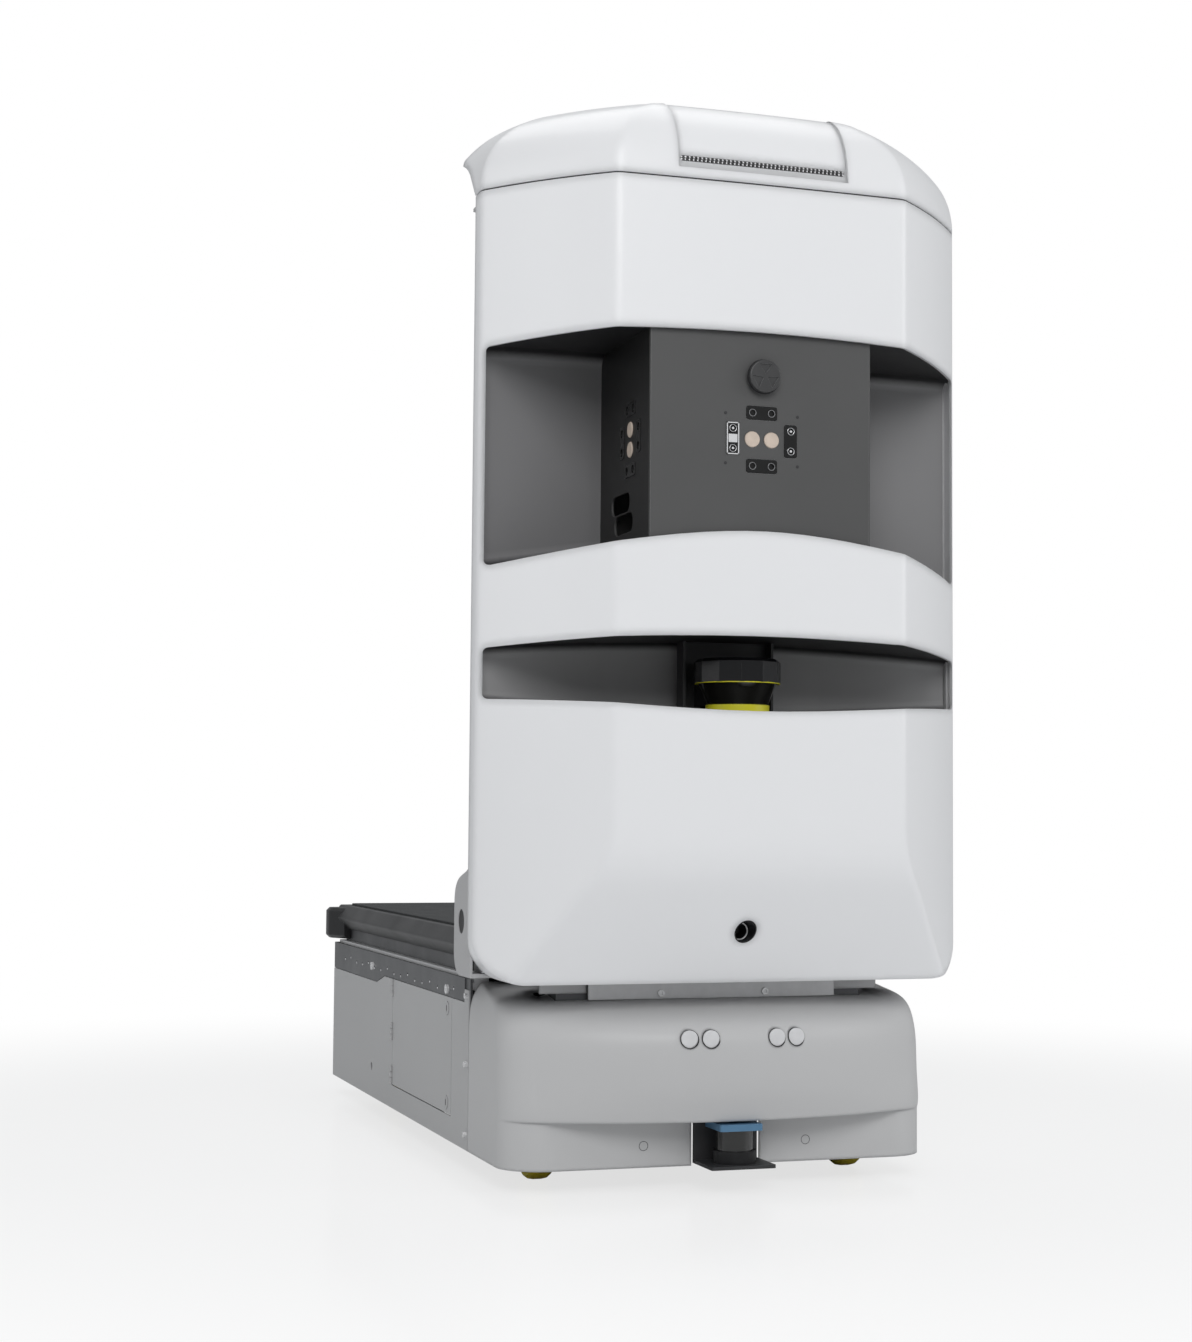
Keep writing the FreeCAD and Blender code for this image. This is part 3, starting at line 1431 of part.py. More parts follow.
def lift_columns():
    """Electric jack columns standing on the pan, each with its motor beside it."""
    columns = []
    low = floor_height + floor_thickness
    for x, y in guide_places():
        column = cyl(x, y, low, AXIS_Z, column_radius, column_height)
        foot = cyl(x, y, low, AXIS_Z, column_radius + 10, 6)
        inward = -1 if x > 0 else 1
        motor_x = x + inward * (column_radius + jack_motor_radius - 2)
        motor = cyl(motor_x, y, low, AXIS_Z, jack_motor_radius, column_height * 0.8)
        bore = cyl(x, y, ram_bottom - 4, AXIS_Z, ram_radius + running_clearance, column_height + 40)
        columns.append(fused([column, foot, motor]).cut(bore))
    return columns


def battery():
    """Battery box on the pan behind the service door, with a carrying handle."""
    low = floor_height + floor_thickness
    body = plan(rectangle(-battery_width / 2, battery_width / 2, battery_front,
                battery_front + battery_length),
                10, low, low + battery_height)
    grip = side_view([(battery_front + 90, low + battery_height),
                      (battery_front + 90, low + battery_height + 16),
                      (battery_front + battery_length - 90, low + battery_height + 16),
                      (battery_front + battery_length - 90, low + battery_height)], [0, 6, 6, 0], -8, 8)
    hand = box(-10, 10, battery_front + 98, battery_front + battery_length - 98, low + battery_height,
               low + battery_height + 10)
    return fused([body, grip.cut(hand)])


def drive_motor(side):
    """Drive motor with gearbox, hung in the slot of the pan by its flange."""
    low = floor_height + floor_thickness
    y = drive_depth
    face = drive_face
    gearbox = box(face - 62, face, y - 34, y + 34, drive_radius - 32, low + 30)
    motor = cyl(face - 62 - 100, y, drive_radius, AXIS_X, 28.0, 100.0)
    flange = box(face - 130, face, y - drive_slot_length / 2 - 8, y + drive_slot_length / 2 + 8, low, low + 6)
    bore = cyl(face - shaft_seat, y, drive_radius, AXIS_X, shaft_radius + running_clearance, shaft_seat + 5)
    unit = fused([gearbox, motor, flange]).cut(bore)
    return unit if side > 0 else mirrored(unit)


def drive_wheel(side):
    """Wheel with a rubber tread on a dished hub, and its stub shaft."""
    profile = [(0, 0), (drive_radius - 3, 0), (drive_radius, 3), (drive_radius, drive_width - 3),
               (drive_radius - 3, drive_width), (drive_radius - 14, drive_width),
               (drive_radius - 20, drive_width - 8), (26, drive_width - 8), (22, drive_width - 2),
               (0, drive_width - 2)]
    outline = rounded([v(x, radius, 0) for radius, x in profile], 0)
    wheel = Part.Face(outline).revolve(v(0, 0, 0), AXIS_X, 360)
    wheel = moved(wheel, drive_face + 1.0, drive_depth, drive_radius)
    shaft = cyl(drive_face - shaft_seat + 1, drive_depth, drive_radius, AXIS_X, shaft_radius, shaft_seat + 4)
    bolts = [cyl(drive_face + drive_width - 12, drive_depth + 34 * math.cos(math.pi / 3 * k),
                 drive_radius + 34 * math.sin(math.pi / 3 * k), AXIS_X, 4.0, 20) for k in range(6)]
    unit = fused([wheel, shaft]).cut(Part.makeCompound(bolts))
    return unit if side > 0 else mirrored(unit)


def caster_places():
    return {"front_left": (-caster_front_spread, caster_front), "front_right": (caster_front_spread,
            caster_front),
            "rear_left": (-caster_rear_spread, caster_rear), "rear_right": (caster_rear_spread, caster_rear)}


def caster_plate(x, y):
    """Bolted plate with the swivel race and the king pin."""
    half_x, half_y = caster_plate_width / 2, caster_plate_length / 2
    top = floor_height
    plate = plan(rectangle(x - half_x, x + half_x, y - half_y, y + half_y), 8,
    top - caster_plate_thickness, top)
    race = cyl(x, y, crown_top + 0.3, AXIS_Z, race_radius, top - caster_plate_thickness - crown_top - 0.3)
    pin_low = crown_top - crown_thickness - 0.5
    pin = cyl(x, y, pin_low - nut_height, AXIS_Z, king_pin_radius, top - pin_low)
    nut = cyl(x, y, pin_low - nut_height, AXIS_Z, nut_radius, nut_height)
    return fused([plate, race, pin, nut])


def caster_fork(x, y):
    """Fork with its crown on the king pin and the axle bolt between its legs."""
    axle_y = y + caster_trail
    axle_z = caster_radius
    inner = caster_width / 2 + 1.2
    outer = inner + fork_leg
    crown = plan([(x - outer, y - 24), (x + outer, y - 24), (x + outer, y + 24), (x - outer, y + 24)],
                 [10, 10, 4, 4], crown_top - crown_thickness, crown_top)
    eye = cyl(x, y, 0, AXIS_Z, king_pin_radius + running_clearance, 200)
    leg_points = [(y - 14, crown_top - 1), (y + 24, crown_top - 1), (axle_y + 13, axle_z + 2),
                  (axle_y + 8, axle_z - 13), (axle_y - 8, axle_z - 13), (axle_y - 13, axle_z + 2)]
    legs = []
    for side in (-1, 1):
        x0, x1 = sorted((x + side * inner, x + side * outer))
        legs.append(side_view(leg_points, [0, 0, 8, 9, 9, 8], x0, x1))
    bolt = cyl(x - outer, axle_y, axle_z, AXIS_X, axle_radius, 2 * outer)
    heads = []
    for x0 in (x - outer - bolt_head, x + outer):
        hexagon = [v(x0, axle_y + bolt_head_radius * math.cos(math.pi / 3 * k),
                     axle_z + bolt_head_radius * math.sin(math.pi / 3 * k)) for k in range(6)]
        heads.append(slab(rounded(hexagon, 0), v(bolt_head, 0, 0)))
    return fused([crown.cut(eye)] + legs + [bolt] + heads)


def caster_wheel(x, y):
    """Crowned yellow wheel with a dished web."""
    half = caster_width / 2
    profile = [(axle_radius + running_clearance, -half), (12, -half), (16, -half + 5), (24, -half + 5),
               (28, -half), (caster_radius - 4, -half), (caster_radius - 1, -half + 4),
               (caster_radius, -half + 10), (caster_radius, half - 10), (caster_radius - 1, half - 4),
               (caster_radius - 4, half), (28, half), (24, half - 5), (16, half - 5), (12, half),
               (axle_radius + running_clearance, half)]
    outline = rounded([v(across, radius, 0) for radius, across in profile], 0)
    wheel = Part.Face(outline).revolve(v(0, 0, 0), AXIS_X, 360)
    return moved(wheel, x, y + caster_trail, caster_radius)


def lidar_plate():
    """Angle bracket of the low laser scanner, bolted under the pan's floor."""
    half = lidar_plate_width / 2
    back = lidar_depth + lidar_plate_reach
    thickness = lidar_plate_thickness
    plate = plan(rectangle(-half, half, lidar_depth - lidar_plate_reach, back), 3, lidar_bottom - thickness,
                 lidar_bottom)
    upright = box(-half, half, back - thickness, back, lidar_bottom - thickness, floor_height)
    lug = box(-half, half, back - thickness, fairing_inner + 24, floor_height - thickness, floor_height)
    return fused([plate, upright, lug])


def lidar_body():
    return cyl(0, lidar_depth, lidar_bottom, AXIS_Z, lidar_radius, lidar_body_height)


def lidar_window():
    low = lidar_bottom + lidar_body_height
    return cyl(0, lidar_depth, low, AXIS_Z, lidar_window_radius, lidar_window_height)


def lidar_mount():
    """Blue square head of the scanner, held by the bracket's upright."""
    low = lidar_bottom + lidar_body_height + lidar_window_height
    half = lidar_mount_size / 2
    head = plan(rectangle(-half, half, lidar_depth - half,
                lidar_depth + lidar_plate_reach - lidar_plate_thickness),
                3, low, low + lidar_mount_height)
    return head


def cap_screw(x, y, z, axis, radius, head):
    """Head of a socket screw standing on a face, with its six-sided socket."""
    body = cyl(x, y, z, axis, radius, head)
    socket = cyl(x + axis.x * head * 0.5, y + axis.y * head * 0.5, z + axis.z * head * 0.5, axis,
                 radius * 0.45, head)
    return body.cut(socket)


def panel_screws():
    """Socket screws along the fairing's seam, the rail and the strap."""
    outer = base_width / 2
    screws = []
    left = v(-1, 0, 0)
    for z in seam_screw_heights:
        screws.append(cap_screw(-outer, seam_screw_depth, z, left, 3.6, 4.5))
    for y in rail_screw_depths:
        screws.append(cap_screw(-outer, y, rail_screw_height, left, 6.0, 3.5))
    screws += [mirrored(screw) for screw in screws]
    for x in (-strap_screw_spread, strap_screw_spread):
        screws.append(cap_screw(x, strap_depth, strap_bottom + 7, v(0, -1, 0), 4.5, 3.0))
    return screws


def sensor_parts():
    modules, discs, holes = all_sensors()
    return {
        "sensor_modules": modules,
        "sensor_discs": discs,
        "sensor_block": sensor_block(holes),
        "sensor_board": sensor_board(),
        "stop_collar": stop_collar(),
        "stop_stem": stop_stem(),
        "stop_head": stop_head(),
    }


def tower_parts():
    room = inside_shell(seat_gap)
    return {
        "front_shell": front_shell(),
        "cap_gasket": gasket(),
        "top_cap": top_cap(),
        "cap_grille": cap_grille(),
        "speaker": speaker(),
        "upper_liner": upper_liner(room),
        "lower_liner": lower_liner(room, [light_strips(room, seat_gap)]),
        "light_strips": light_strips(room, 0),
        "scanner_bracket": scanner_bracket(room),
        "scanner_ring": scanner_ring(),
        "scanner_window": scanner_window(),
        "scanner_hood": scanner_hood(),
        "port_sleeve": port_sleeve(),
        "port_tube": port_tube(),
        "tower_frame": tower_frame(),
        "plate_plugs": plate_plugs(),
        "rear_cover": rear_cover(),
        "touch_screen": touch_screen(),
        "computer": computer(),
    }


def base_parts():
    sonar_holes = [sonar(x, seat_gap, 0, fairing_front) for x in sonar_places()]
    return {
        "chassis": chassis(),
        "front_fairing": front_fairing(sonar_holes),
        "sonar_discs": sonar_discs(),
        "strap_plate": strap_plate(),
        "lidar_plate": lidar_plate(),
        "lidar_body": lidar_body(),
        "lidar_window": lidar_window(),
        "lidar_mount": lidar_mount(),
        "side_panel_left": side_panel(True),
        "side_panel_right": side_panel(False),
        "side_beams": side_beams(),
        "service_door": service_door(),
        "latch_upper": latch(latch_heights[0]),
        "latch_lower": latch(latch_heights[1]),
        "panel_screws": panel_screws(),
        "rear_panel": rear_panel(),
        "battery": battery(),
        "deck_tray": deck_tray(),
        "deck_mat": deck_mat(),
        "deck_frame": deck_frame(),
        "lift_rams": lift_rams(),
        "lift_columns": lift_columns(),
    }


def running_gear():
    parts = {
        "drive_motors": [drive_motor(-1), drive_motor(1)],
        "drive_wheel_left": drive_wheel(-1),
        "drive_wheel_right": drive_wheel(1),
        "caster_plates": [caster_plate(x, y) for x, y in caster_places().values()],
    }
    for name, (x, y) in caster_places().items():
        parts["caster_fork_" + name] = caster_fork(x, y)
        parts["caster_wheel_" + name] = caster_wheel(x, y)
    return parts


# The origin goes to the floor, half way between the stop button and the back of the tray
middle = (block_front - head_projection + tray_back) / 2
parts = {}
for group in (sensor_parts, tower_parts, base_parts, running_gear):
    parts.update(group())
os.makedirs("parts", exist_ok=True)
for name, shape in parts.items():
    if isinstance(shape, list):
        shape = Part.makeCompound(shape)
    moved(shape, 0, -middle, 0).exportStep(os.path.join("parts", name + ".step"))
    extent = shape.BoundBox
    print(name, len(shape.Solids), shape.isValid(), round(extent.XLength, 1), round(extent.YLength, 1),
          round(extent.ZLength, 1))
print("parts:", len(parts))
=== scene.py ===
import json
import math

import bmesh
import bpy
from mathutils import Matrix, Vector


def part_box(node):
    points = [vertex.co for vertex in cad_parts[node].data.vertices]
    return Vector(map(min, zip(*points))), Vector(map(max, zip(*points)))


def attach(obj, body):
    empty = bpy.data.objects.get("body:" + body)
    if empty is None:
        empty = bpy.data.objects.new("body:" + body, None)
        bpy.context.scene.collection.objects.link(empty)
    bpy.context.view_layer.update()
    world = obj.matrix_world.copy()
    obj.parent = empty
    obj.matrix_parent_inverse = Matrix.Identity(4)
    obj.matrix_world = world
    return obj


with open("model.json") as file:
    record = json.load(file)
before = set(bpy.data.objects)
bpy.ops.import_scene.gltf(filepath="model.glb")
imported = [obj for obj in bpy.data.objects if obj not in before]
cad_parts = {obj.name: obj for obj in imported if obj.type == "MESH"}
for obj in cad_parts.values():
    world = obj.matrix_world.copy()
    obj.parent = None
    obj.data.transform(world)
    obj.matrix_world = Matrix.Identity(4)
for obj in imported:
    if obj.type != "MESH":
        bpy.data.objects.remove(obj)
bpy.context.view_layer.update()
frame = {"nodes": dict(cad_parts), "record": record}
nodes = frame["nodes"]
print("loaded", len(nodes), "nodes")

# places are given in millimetres from the tower's front plane
buttonProud = 0.0075  # front of the stop button's head to that plane, in metres
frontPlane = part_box("stop_head")[0].y + buttonProud


def place(x, y, z):
    return Vector((x / 1000.0, y / 1000.0 + frontPlane, z / 1000.0))


view = {
    "location": (-0.989, -3.1808, 0.447),
    "turn": (93.614, -0.358, -18.677),
    "lens": 62.21,
    "sensor": 36.0,
    "shiftX": -0.05,
    "farthest": 200.0,
}

cameraData = bpy.data.cameras.new("camera")
cameraData.sensor_width = view["sensor"]
cameraData.lens = view["lens"]
cameraData.shift_x = view["shiftX"]
cameraData.clip_end = view["farthest"]
camera = bpy.data.objects.new("camera", cameraData)
camera.location = view["location"]
camera.rotation_euler = [math.radians(angle) for angle in view["turn"]]
bpy.context.scene.collection.objects.link(camera)
bpy.context.scene.camera = camera

studio = {
    "backdrop": (1.0, 1.0, 1.0, 1.0),
    "fillColor": (0.96, 0.98, 1.0, 1.0),
    "fill": 0.42,
    "floorColor": (0.93, 0.935, 0.94, 1.0),
    "floorRoughness": 0.16,
    "floorShine": 0.35,
    "floorFade": (0.8, 2.2),
    "floorGlow": 0.72,
    "floorSize": 30.0,
    "floorSteps": 8,
}

# name: where it hangs, where it points, its width and height in m, its power
lamps = {
    "keyLight": ((-0.9, -4.2, 2.9), (0.0, -0.3, 0.9), (2.6, 2.0), 75),
    "rightLight": ((3.2, -2.0, 1.8), (0.0, -0.2, 0.7), (1.6, 2.4), 24),
    "leftLight": ((-3.4, -0.6, 1.9), (-0.2, 0.1, 0.5), (2.0, 2.4), 11),
    "topLight": ((0.0, 0.6, 3.6), (0.0, 0.1, 0.3), (2.6, 2.6), 26),
}


def addNode(tree, kind, values=None, **settings):
    node = tree.new("ShaderNode" + kind)
    for key, value in settings.items():
        setattr(node, key, value)
    for key, value in (values or {}).items():
        node.inputs[key].default_value = value
    return node


def newMaterial(name):
    material = bpy.data.materials.new(name)
    material.use_nodes = True
    material.node_tree.nodes.clear()
    return material, material.node_tree.nodes, material.node_tree.links


def buildWorld():
    world = bpy.data.worlds.new("studio")
    world.use_nodes = True
    tree, links = world.node_tree.nodes, world.node_tree.links
    tree.clear()
    out = addNode(tree, "OutputWorld")
    mix = addNode(tree, "MixShader")
    path = addNode(tree, "LightPath")
    lighting = addNode(tree, "Background", {"Color": studio["fillColor"], "Strength": studio["fill"]})
    backdrop = addNode(tree, "Background", {"Color": studio["backdrop"]})
    links.new(path.outputs["Is Camera Ray"], mix.inputs[0])
    links.new(lighting.outputs[0], mix.inputs[1])
    links.new(backdrop.outputs[0], mix.inputs[2])
    links.new(mix.outputs[0], out.inputs["Surface"])
    bpy.context.scene.world = world


def buildFloor():
    mesh = bpy.data.meshes.new("floor")
    shape = bmesh.new()
    steps = studio["floorSteps"]
    bmesh.ops.create_grid(shape, x_segments=steps, y_segments=steps, size=studio["floorSize"])
    shape.to_mesh(mesh)
    shape.free()
    floor = bpy.data.objects.new("floor", mesh)
    bpy.context.scene.collection.objects.link(floor)
    material, tree, links = newMaterial("floorSurface")
    out = addNode(tree, "OutputMaterial")
    finish = addNode(tree, "BsdfPrincipled", {
        "Base Color": studio["floorColor"],
        "Roughness": studio["floorRoughness"],
        "Specular IOR Level": studio["floorShine"],
    })
    glow = addNode(tree, "Emission", {"Color": studio["backdrop"]})
    # far from the robot the floor runs into the backdrop
    coordinates = addNode(tree, "TexCoord")
    distance = addNode(tree, "VectorMath", operation="LENGTH")
    fade = addNode(tree, "MapRange", {
        "From Min": studio["floorFade"][0],
        "From Max": studio["floorFade"][1],
        "To Min": studio["floorGlow"],
    }, interpolation_type="SMOOTHSTEP")
    path = addNode(tree, "LightPath")
    seen = addNode(tree, "Math", operation="MULTIPLY")
    mix = addNode(tree, "MixShader")
    links.new(coordinates.outputs["Object"], distance.inputs[0])
    links.new(distance.outputs["Value"], fade.inputs["Value"])
    links.new(fade.outputs[0], seen.inputs[0])
    links.new(path.outputs["Is Camera Ray"], seen.inputs[1])
    links.new(seen.outputs[0], mix.inputs[0])
    links.new(finish.outputs[0], mix.inputs[1])
    links.new(glow.outputs[0], mix.inputs[2])
    links.new(mix.outputs[0], out.inputs["Surface"])
    mesh.materials.append(material)


def hangLamp(name, location, target, size, power):
    data = bpy.data.lights.new(name, "AREA")
    data.shape = "RECTANGLE"
    data.size, data.size_y = size
    data.energy = power
    lamp = bpy.data.objects.new(name, data)
    lamp.location = location
    lamp.rotation_euler = (Vector(target) - Vector(location)).to_track_quat("-Z", "Y").to_euler()
    bpy.context.scene.collection.objects.link(lamp)


buildWorld()
buildFloor()
for lampName, lampValues in lamps.items():
    hangLamp(lampName, *lampValues)
bpy.context.scene.view_settings.view_transform = "Standard"
print("camera, floor and lights ready")

# color, edge: linear RGB, edge being the painted highlight on turning edges; roughness: lowest and highest;
# grain: size in m and height of the fine relief
# cloud: size in m and strength of the slow variation; round: radius of the softened edges in m
# level, side: painted shade, a darker colour for the faces that lie flat or look sideways; dots: light dots
# in rows, in m
# metal, coat and shine are shares from 0 to 1
looks = {
    "shell_white": {"color": (0.83, 0.833, 0.845), "edge": (0.86, 0.865, 0.88), "roughness": (0.29, 0.33),
                    "grain": (0.0011, 0.012), "cloud": (0.60, 0.006), "round": 0.0160, "coat": 0.2},
    "recess_grey": {"color": (0.235, 0.233, 0.238), "edge": (0.29, 0.29, 0.295), "roughness": (0.44, 0.54),
                    "grain": (0.0009, 0.05), "cloud": (0.12, 0.02), "round": 0.0012,
                    # painted shade on the liner's ceiling and floor
                    "level": (0.010, 0.010, 0.011)},
    # painted light: a lighter copy of the recess grey, for the lower liner
    "recess_grey_lit": {"color": (0.34, 0.338, 0.342), "edge": (0.38, 0.38, 0.385), "roughness": (0.44, 0.54),
                    "grain": (0.0009, 0.05), "cloud": (0.12, 0.02), "round": 0.0012,
                    # painted shade on the liner's ceiling and floor
                    "level": (0.012, 0.012, 0.013)},
    "block_grey": {"color": (0.076, 0.076, 0.076), "edge": (0.40, 0.40, 0.40), "roughness": (0.40, 0.50),
                   "grain": (0.0007, 0.08), "cloud": (0.10, 0.02), "round": 0.0014,
                   # painted shade on the block's sideways faces
                   "side": (0.012, 0.012, 0.012)},
    "black_plastic": {"color": (0.009, 0.009, 0.010), "edge": (0.04, 0.04, 0.042), "roughness": (0.36, 0.50),
                      "grain": (0.0006, 0.08), "cloud": (0.05, 0.06), "round": 0.0005, "shine": 0.3},
    "seal_black": {"color": (0.05, 0.05, 0.052), "edge": (0.09, 0.09, 0.09), "roughness": (0.55, 0.70),
                   "grain": (0.0008, 0.08), "cloud": (0.05, 0.05), "round": 0.0003},
    "grille_black": {"color": (0.055, 0.055, 0.057), "edge": (0.16, 0.16, 0.165), "roughness": (0.35, 0.50),
                     "grain": (0.0006, 0.05), "cloud": (0.03, 0.05), "round": 0.0002, "metal": 0.3,
                     "dots": {"pitch": 0.0052, "rise": 0.0032, "radius": 0.0012,
                              "color": (0.72, 0.72, 0.73)}},
    "stop_dark": {"color": (0.042, 0.042, 0.043), "edge": (0.24, 0.24, 0.245), "roughness": (0.30, 0.42),
                  "grain": (0.0006, 0.06), "cloud": (0.03, 0.05), "round": 0.0006},
    "stem_steel": {"color": (0.55, 0.55, 0.56), "edge": (0.75, 0.75, 0.76), "roughness": (0.18, 0.30),
                   "grain": (0.0005, 0.03), "cloud": (0.03, 0.06), "round": 0.0004, "metal": 1.0},
    "disc_tan": {"color": (0.60, 0.50, 0.42), "edge": (0.68, 0.60, 0.52), "roughness": (0.45, 0.60),
                 "grain": (0.0011, 0.20), "cloud": (0.01, 0.10), "round": 0.0004},
    "disc_silver": {"color": (0.72, 0.72, 0.73), "edge": (0.82, 0.82, 0.83), "roughness": (0.34, 0.48),
                    "grain": (0.0009, 0.14), "cloud": (0.01, 0.05), "round": 0.0004, "metal": 0.25},
    "module_black": {"color": (0.006, 0.006, 0.006), "edge": (0.06, 0.06, 0.062), "roughness": (0.18, 0.30),
                     "grain": (0.0005, 0.03), "cloud": (0.02, 0.05), "round": 0.0005},
    "light_lens": {"color": (0.50, 0.50, 0.51), "edge": (0.60, 0.60, 0.61), "roughness": (0.30, 0.45),
                   "grain": (0.0012, 0.10), "cloud": (0.02, 0.05), "round": 0.0004},
    "bracket_dark": {"color": (0.028, 0.028, 0.030), "edge": (0.09, 0.09, 0.092), "roughness": (0.40, 0.55),
                     "grain": (0.0008, 0.10), "cloud": (0.05, 0.08), "round": 0.0005},
    "scanner_yellow": {"color": (0.72, 0.68, 0.02), "edge": (0.82, 0.79, 0.10), "roughness": (0.28, 0.40),
                       "grain": (0.0007, 0.05), "cloud": (0.03, 0.04), "round": 0.0005},
    "hood_black": {"color": (0.005, 0.005, 0.006), "edge": (0.14, 0.14, 0.14), "roughness": (0.10, 0.16),
                   "grain": (0.0006, 0.02), "cloud": (0.04, 0.05), "round": 0.0008, "shine": 0.4},
    "smoked_window": {"color": (0.006, 0.006, 0.005), "edge": (0.05, 0.05, 0.03), "roughness": (0.06, 0.12),
                      "grain": (0.0020, 0.005), "cloud": (0.03, 0.08), "round": 0.0004, "coat": 0.6},
    "tube_chrome": {"color": (0.78, 0.78, 0.79), "edge": (0.9, 0.9, 0.9), "roughness": (0.08, 0.16),
                    "grain": (0.0006, 0.01), "cloud": (0.02, 0.04), "round": 0.0003, "metal": 1.0},
    "port_bright": {"color": (0.88, 0.88, 0.89), "edge": (0.95, 0.95, 0.95), "roughness": (0.14, 0.22),
                    "grain": (0.0006, 0.01), "cloud": (0.02, 0.03), "round": 0.0003, "metal": 0.3},
    "frame_grey": {"color": (0.46, 0.46, 0.465), "edge": (0.54, 0.54, 0.55), "roughness": (0.42, 0.56),
                   "grain": (0.0010, 0.10), "cloud": (0.12, 0.04), "round": 0.0006},
    "cover_grey": {"color": (0.60, 0.605, 0.62), "edge": (0.68, 0.68, 0.69), "roughness": (0.42, 0.56),
                   "grain": (0.0010, 0.14), "cloud": (0.20, 0.03), "round": 0.0012},
    "screen_glass": {"color": (0.012, 0.013, 0.016), "edge": (0.06, 0.06, 0.065), "roughness": (0.05, 0.10),
                     "grain": (0.0030, 0.003), "cloud": (0.10, 0.04), "round": 0.0006, "coat": 0.6},
    "computer_alu": {"color": (0.30, 0.30, 0.31), "edge": (0.45, 0.45, 0.46), "roughness": (0.30, 0.45),
                     "grain": (0.0006, 0.06), "cloud": (0.05, 0.05), "round": 0.0004, "metal": 0.9},
    "fairing_grey": {"color": (0.525, 0.525, 0.527), "edge": (0.54, 0.54, 0.55), "roughness": (0.42, 0.50),
                     "grain": (0.0010, 0.08), "cloud": (0.40, 0.01), "round": 0.0060},
    "zinc_plate": {"color": (0.58, 0.58, 0.585), "edge": (0.62, 0.62, 0.63), "roughness": (0.30, 0.46),
                   "grain": (0.0020, 0.04), "cloud": (0.02, 0.10), "round": 0.0005, "metal": 0.55},
    "panel_grey": {"color": (0.470, 0.471, 0.473), "edge": (0.52, 0.52, 0.53), "roughness": (0.42, 0.56),
                   "grain": (0.0009, 0.12), "cloud": (0.30, 0.015), "round": 0.0006},
    "rail_grey": {"color": (0.115, 0.117, 0.122), "edge": (0.34, 0.34, 0.35), "roughness": (0.34, 0.50),
                  "grain": (0.0008, 0.08), "cloud": (0.06, 0.10), "round": 0.0006, "metal": 0.5},
    "bright_alu": {"color": (0.70, 0.70, 0.705), "edge": (0.80, 0.80, 0.81), "roughness": (0.32, 0.42),
                   "grain": (0.0009, 0.03), "cloud": (0.20, 0.02), "round": 0.0002, "metal": 0.35},
    "mount_blue": {"color": (0.10, 0.22, 0.36), "edge": (0.25, 0.38, 0.52), "roughness": (0.28, 0.42),
                   "grain": (0.0006, 0.05), "cloud": (0.02, 0.06), "round": 0.0005, "metal": 0.4},
    "screw_steel": {"color": (0.82, 0.82, 0.825), "edge": (0.90, 0.90, 0.90), "roughness": (0.20, 0.30),
                    "grain": (0.0005, 0.03), "cloud": (0.01, 0.05), "round": 0.0004, "metal": 0.35},
    "tray_black": {"color": (0.014, 0.014, 0.015), "edge": (0.06, 0.06, 0.062), "roughness": (0.34, 0.46),
                   "grain": (0.0010, 0.12), "cloud": (0.10, 0.06), "round": 0.0025, "shine": 0.35},
    "mat_black": {"color": (0.020, 0.022, 0.023), "edge": (0.06, 0.065, 0.065), "roughness": (0.55, 0.72),
                  "grain": (0.0045, 0.85), "cloud": (0.03, 0.18), "round": 0.0015},
    "dark_steel": {"color": (0.075, 0.076, 0.080), "edge": (0.20, 0.20, 0.205), "roughness": (0.38, 0.52),
                   "grain": (0.0009, 0.08), "cloud": (0.06, 0.08), "round": 0.0006, "metal": 0.3},
    "battery_black": {"color": (0.03, 0.03, 0.032), "edge": (0.08, 0.08, 0.08), "roughness": (0.40, 0.55),
                      "grain": (0.0010, 0.15), "cloud": (0.06, 0.08), "round": 0.0012},
    "motor_grey": {"color": (0.28, 0.28, 0.29), "edge": (0.42, 0.42, 0.43), "roughness": (0.36, 0.52),
                   "grain": (0.0012, 0.18), "cloud": (0.04, 0.08), "round": 0.0008, "metal": 0.7},
    "drive_rubber": {"color": (0.024, 0.024, 0.024), "edge": (0.07, 0.07, 0.07), "roughness": (0.60, 0.78),
                     "grain": (0.0016, 0.35), "cloud": (0.02, 0.15), "round": 0.0012},
    "caster_steel": {"color": (0.42, 0.42, 0.42), "edge": (0.62, 0.62, 0.62), "roughness": (0.28, 0.42),
                     "grain": (0.0008, 0.06), "cloud": (0.02, 0.10), "round": 0.0006, "metal": 0.9},
    "caster_yellow": {"color": (0.74, 0.60, 0.040), "edge": (0.82, 0.72, 0.14), "roughness": (0.38, 0.55),
                      "grain": (0.0012, 0.10), "cloud": (0.02, 0.12), "round": 0.0010},
}

# what all the surfaces share
common = {
    "metal": 0.0,
    "coat": 0.0,
    "shine": 0.5,
    "coatRoughness": 0.12,
    "cloudDetail": 3.0,
    "grainDetail": 2.0,
    "cloudFrom": 0.2,
    "cloudTo": 0.8,
    "edgeFrom": 0.985,
    "edgeTo": 0.80,
    "edgeShare": 0.75,
    "facingFrom": 0.35,
    "facingTo": 0.85,
    "edgeSamples": 4,
    "reliefGain": 2.0,
    "reliefDepth": 0.5,
}


